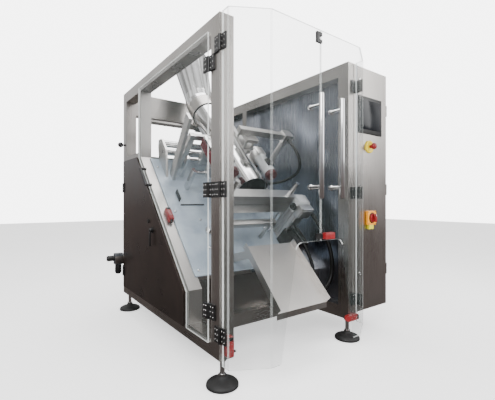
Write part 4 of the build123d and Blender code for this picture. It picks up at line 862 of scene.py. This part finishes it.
def plate_fixings():
    """Domed fixings round the plate, the dark slot above the chute and two black strips."""
    places = [on_slope(x, up, PLATE_FACE) for x in (95, 945) for up in (-1025, -560, -120)]
    places += [on_slope(x, up, PLATE_FACE) for x, up in ((230, -930), (230, -870), (250, -640), (300, -980))]
    fixing = turned(places[0], OFF_SLOPE, [(8, 0), (8, 3), (6.5, 6), (3, 7.5)], POLISHED, 20)
    slot = slope_bar((330, 640), (-688, -684), (PLATE_FACE, 12), BLACK, 0.4)
    level_strip = slope_bar((150, 330), (-505, -498), (PLATE_FACE, 20), BLACK, 2)
    upright_strip = slope_bar((150, 156), (-470, -380), (PLATE_FACE, 46), BLACK, 2)
    return placed(fixing, places) + [slot, level_strip, upright_strip]


piece("plate_fixings", plate_fixings(), "machine")


# ---------------------------------------------------------------- air unit

AIR_X, AIR_Y, AIR_Z = -34, 1569, 424


def ring_of_ribs(middle, first_way, second_way, radius, count, way, profile):
    """Slim ribs at equal angles round a middle."""
    angles = [math.tau * turn / count for turn in range(count)]
    places = [middle + (first_way * math.cos(angle) + second_way * math.sin(angle)) * radius * MM
              for angle in angles]
    return placed(turned(places[0], way, profile, BLACK, 8), places)


def air_regulator():
    """A regulator head with a dial ring and the knob's collar, its ribbed bowl and its bracket."""
    head = bar(at(AIR_X, AIR_Y - 4, 418.3), (68, 52, 91.4), GEAR_GREY, 5)
    bracket = bar(at(-4, 1537, 410), (128, 4, 60), STAINLESS_DARK, 0.8)
    bowl = turned(at(AIR_X, AIR_Y, 375), -ALONG_Z,
                  [(27, 0), (27, 6), (25, 8), (26, 60), (24, 74), (16, 82), (7, 85)], BLACK)
    ribs = ring_of_ribs(at(AIR_X, AIR_Y, 310), ALONG_X, ALONG_Y, 25.4, 12, ALONG_Z,
                        [(1.2, 0), (1.6, 2), (1.6, 50), (1.2, 52)])
    collar = turned(at(2 * AIR_X, AIR_Y, AIR_Z), -ALONG_X, [(18, -2), (18, 3), (8, 4), (8, 14)],
                    GEAR_GREY, 28)
    dial_ring = turned(at(AIR_X, 1590, 420), ALONG_Y, [(19, 0), (19, 7), (17, 9), (15, 8), (14, 8)],
                       POLISHED)
    return [head, bracket, bowl, collar, dial_ring, *ribs]


def ribbed_knob():
    """The regulator's knob: a turned body with grip ribs and a domed end."""
    start = at(2 * AIR_X - 0.5, AIR_Y, AIR_Z)
    body = turned(start, -ALONG_X, [(21, 0.2), (22, 1), (22, 50), (19, 56), (10, 58)], BLACK, 36)
    ribs = ring_of_ribs(start - ALONG_X * 8 * MM, ALONG_Y, ALONG_Z, 21.6, 18, -ALONG_X,
                        [(1.1, 0), (1.4, 2), (1.4, 38), (1.1, 40)])
    return [body, *ribs]


piece("air_regulator", air_regulator(), "machine", ["air_unit"])
piece("ribbed_knob", ribbed_knob(), "pressure_knob", ["air_knob"])


# ---------------------------------------------------------------- service lever

LEVER_FACE, LEVER_Y, LEVER_Z = -24.3, 825, 705


def swing_handle():
    """A round boss and the rounded lever that hangs from it."""
    boss = turned(at(LEVER_FACE, LEVER_Y, LEVER_Z), -ALONG_X, [(14, 0), (14, 11), (12, 15), (7, 16)],
                  BLACK, 28)
    lever = bar(at(LEVER_FACE - 11, LEVER_Y, LEVER_Z - 53), (10, 18, 106), BLACK, 4)
    return [boss, lever]


piece("swing_handle", swing_handle(), "service_lever", ["service_handle"])
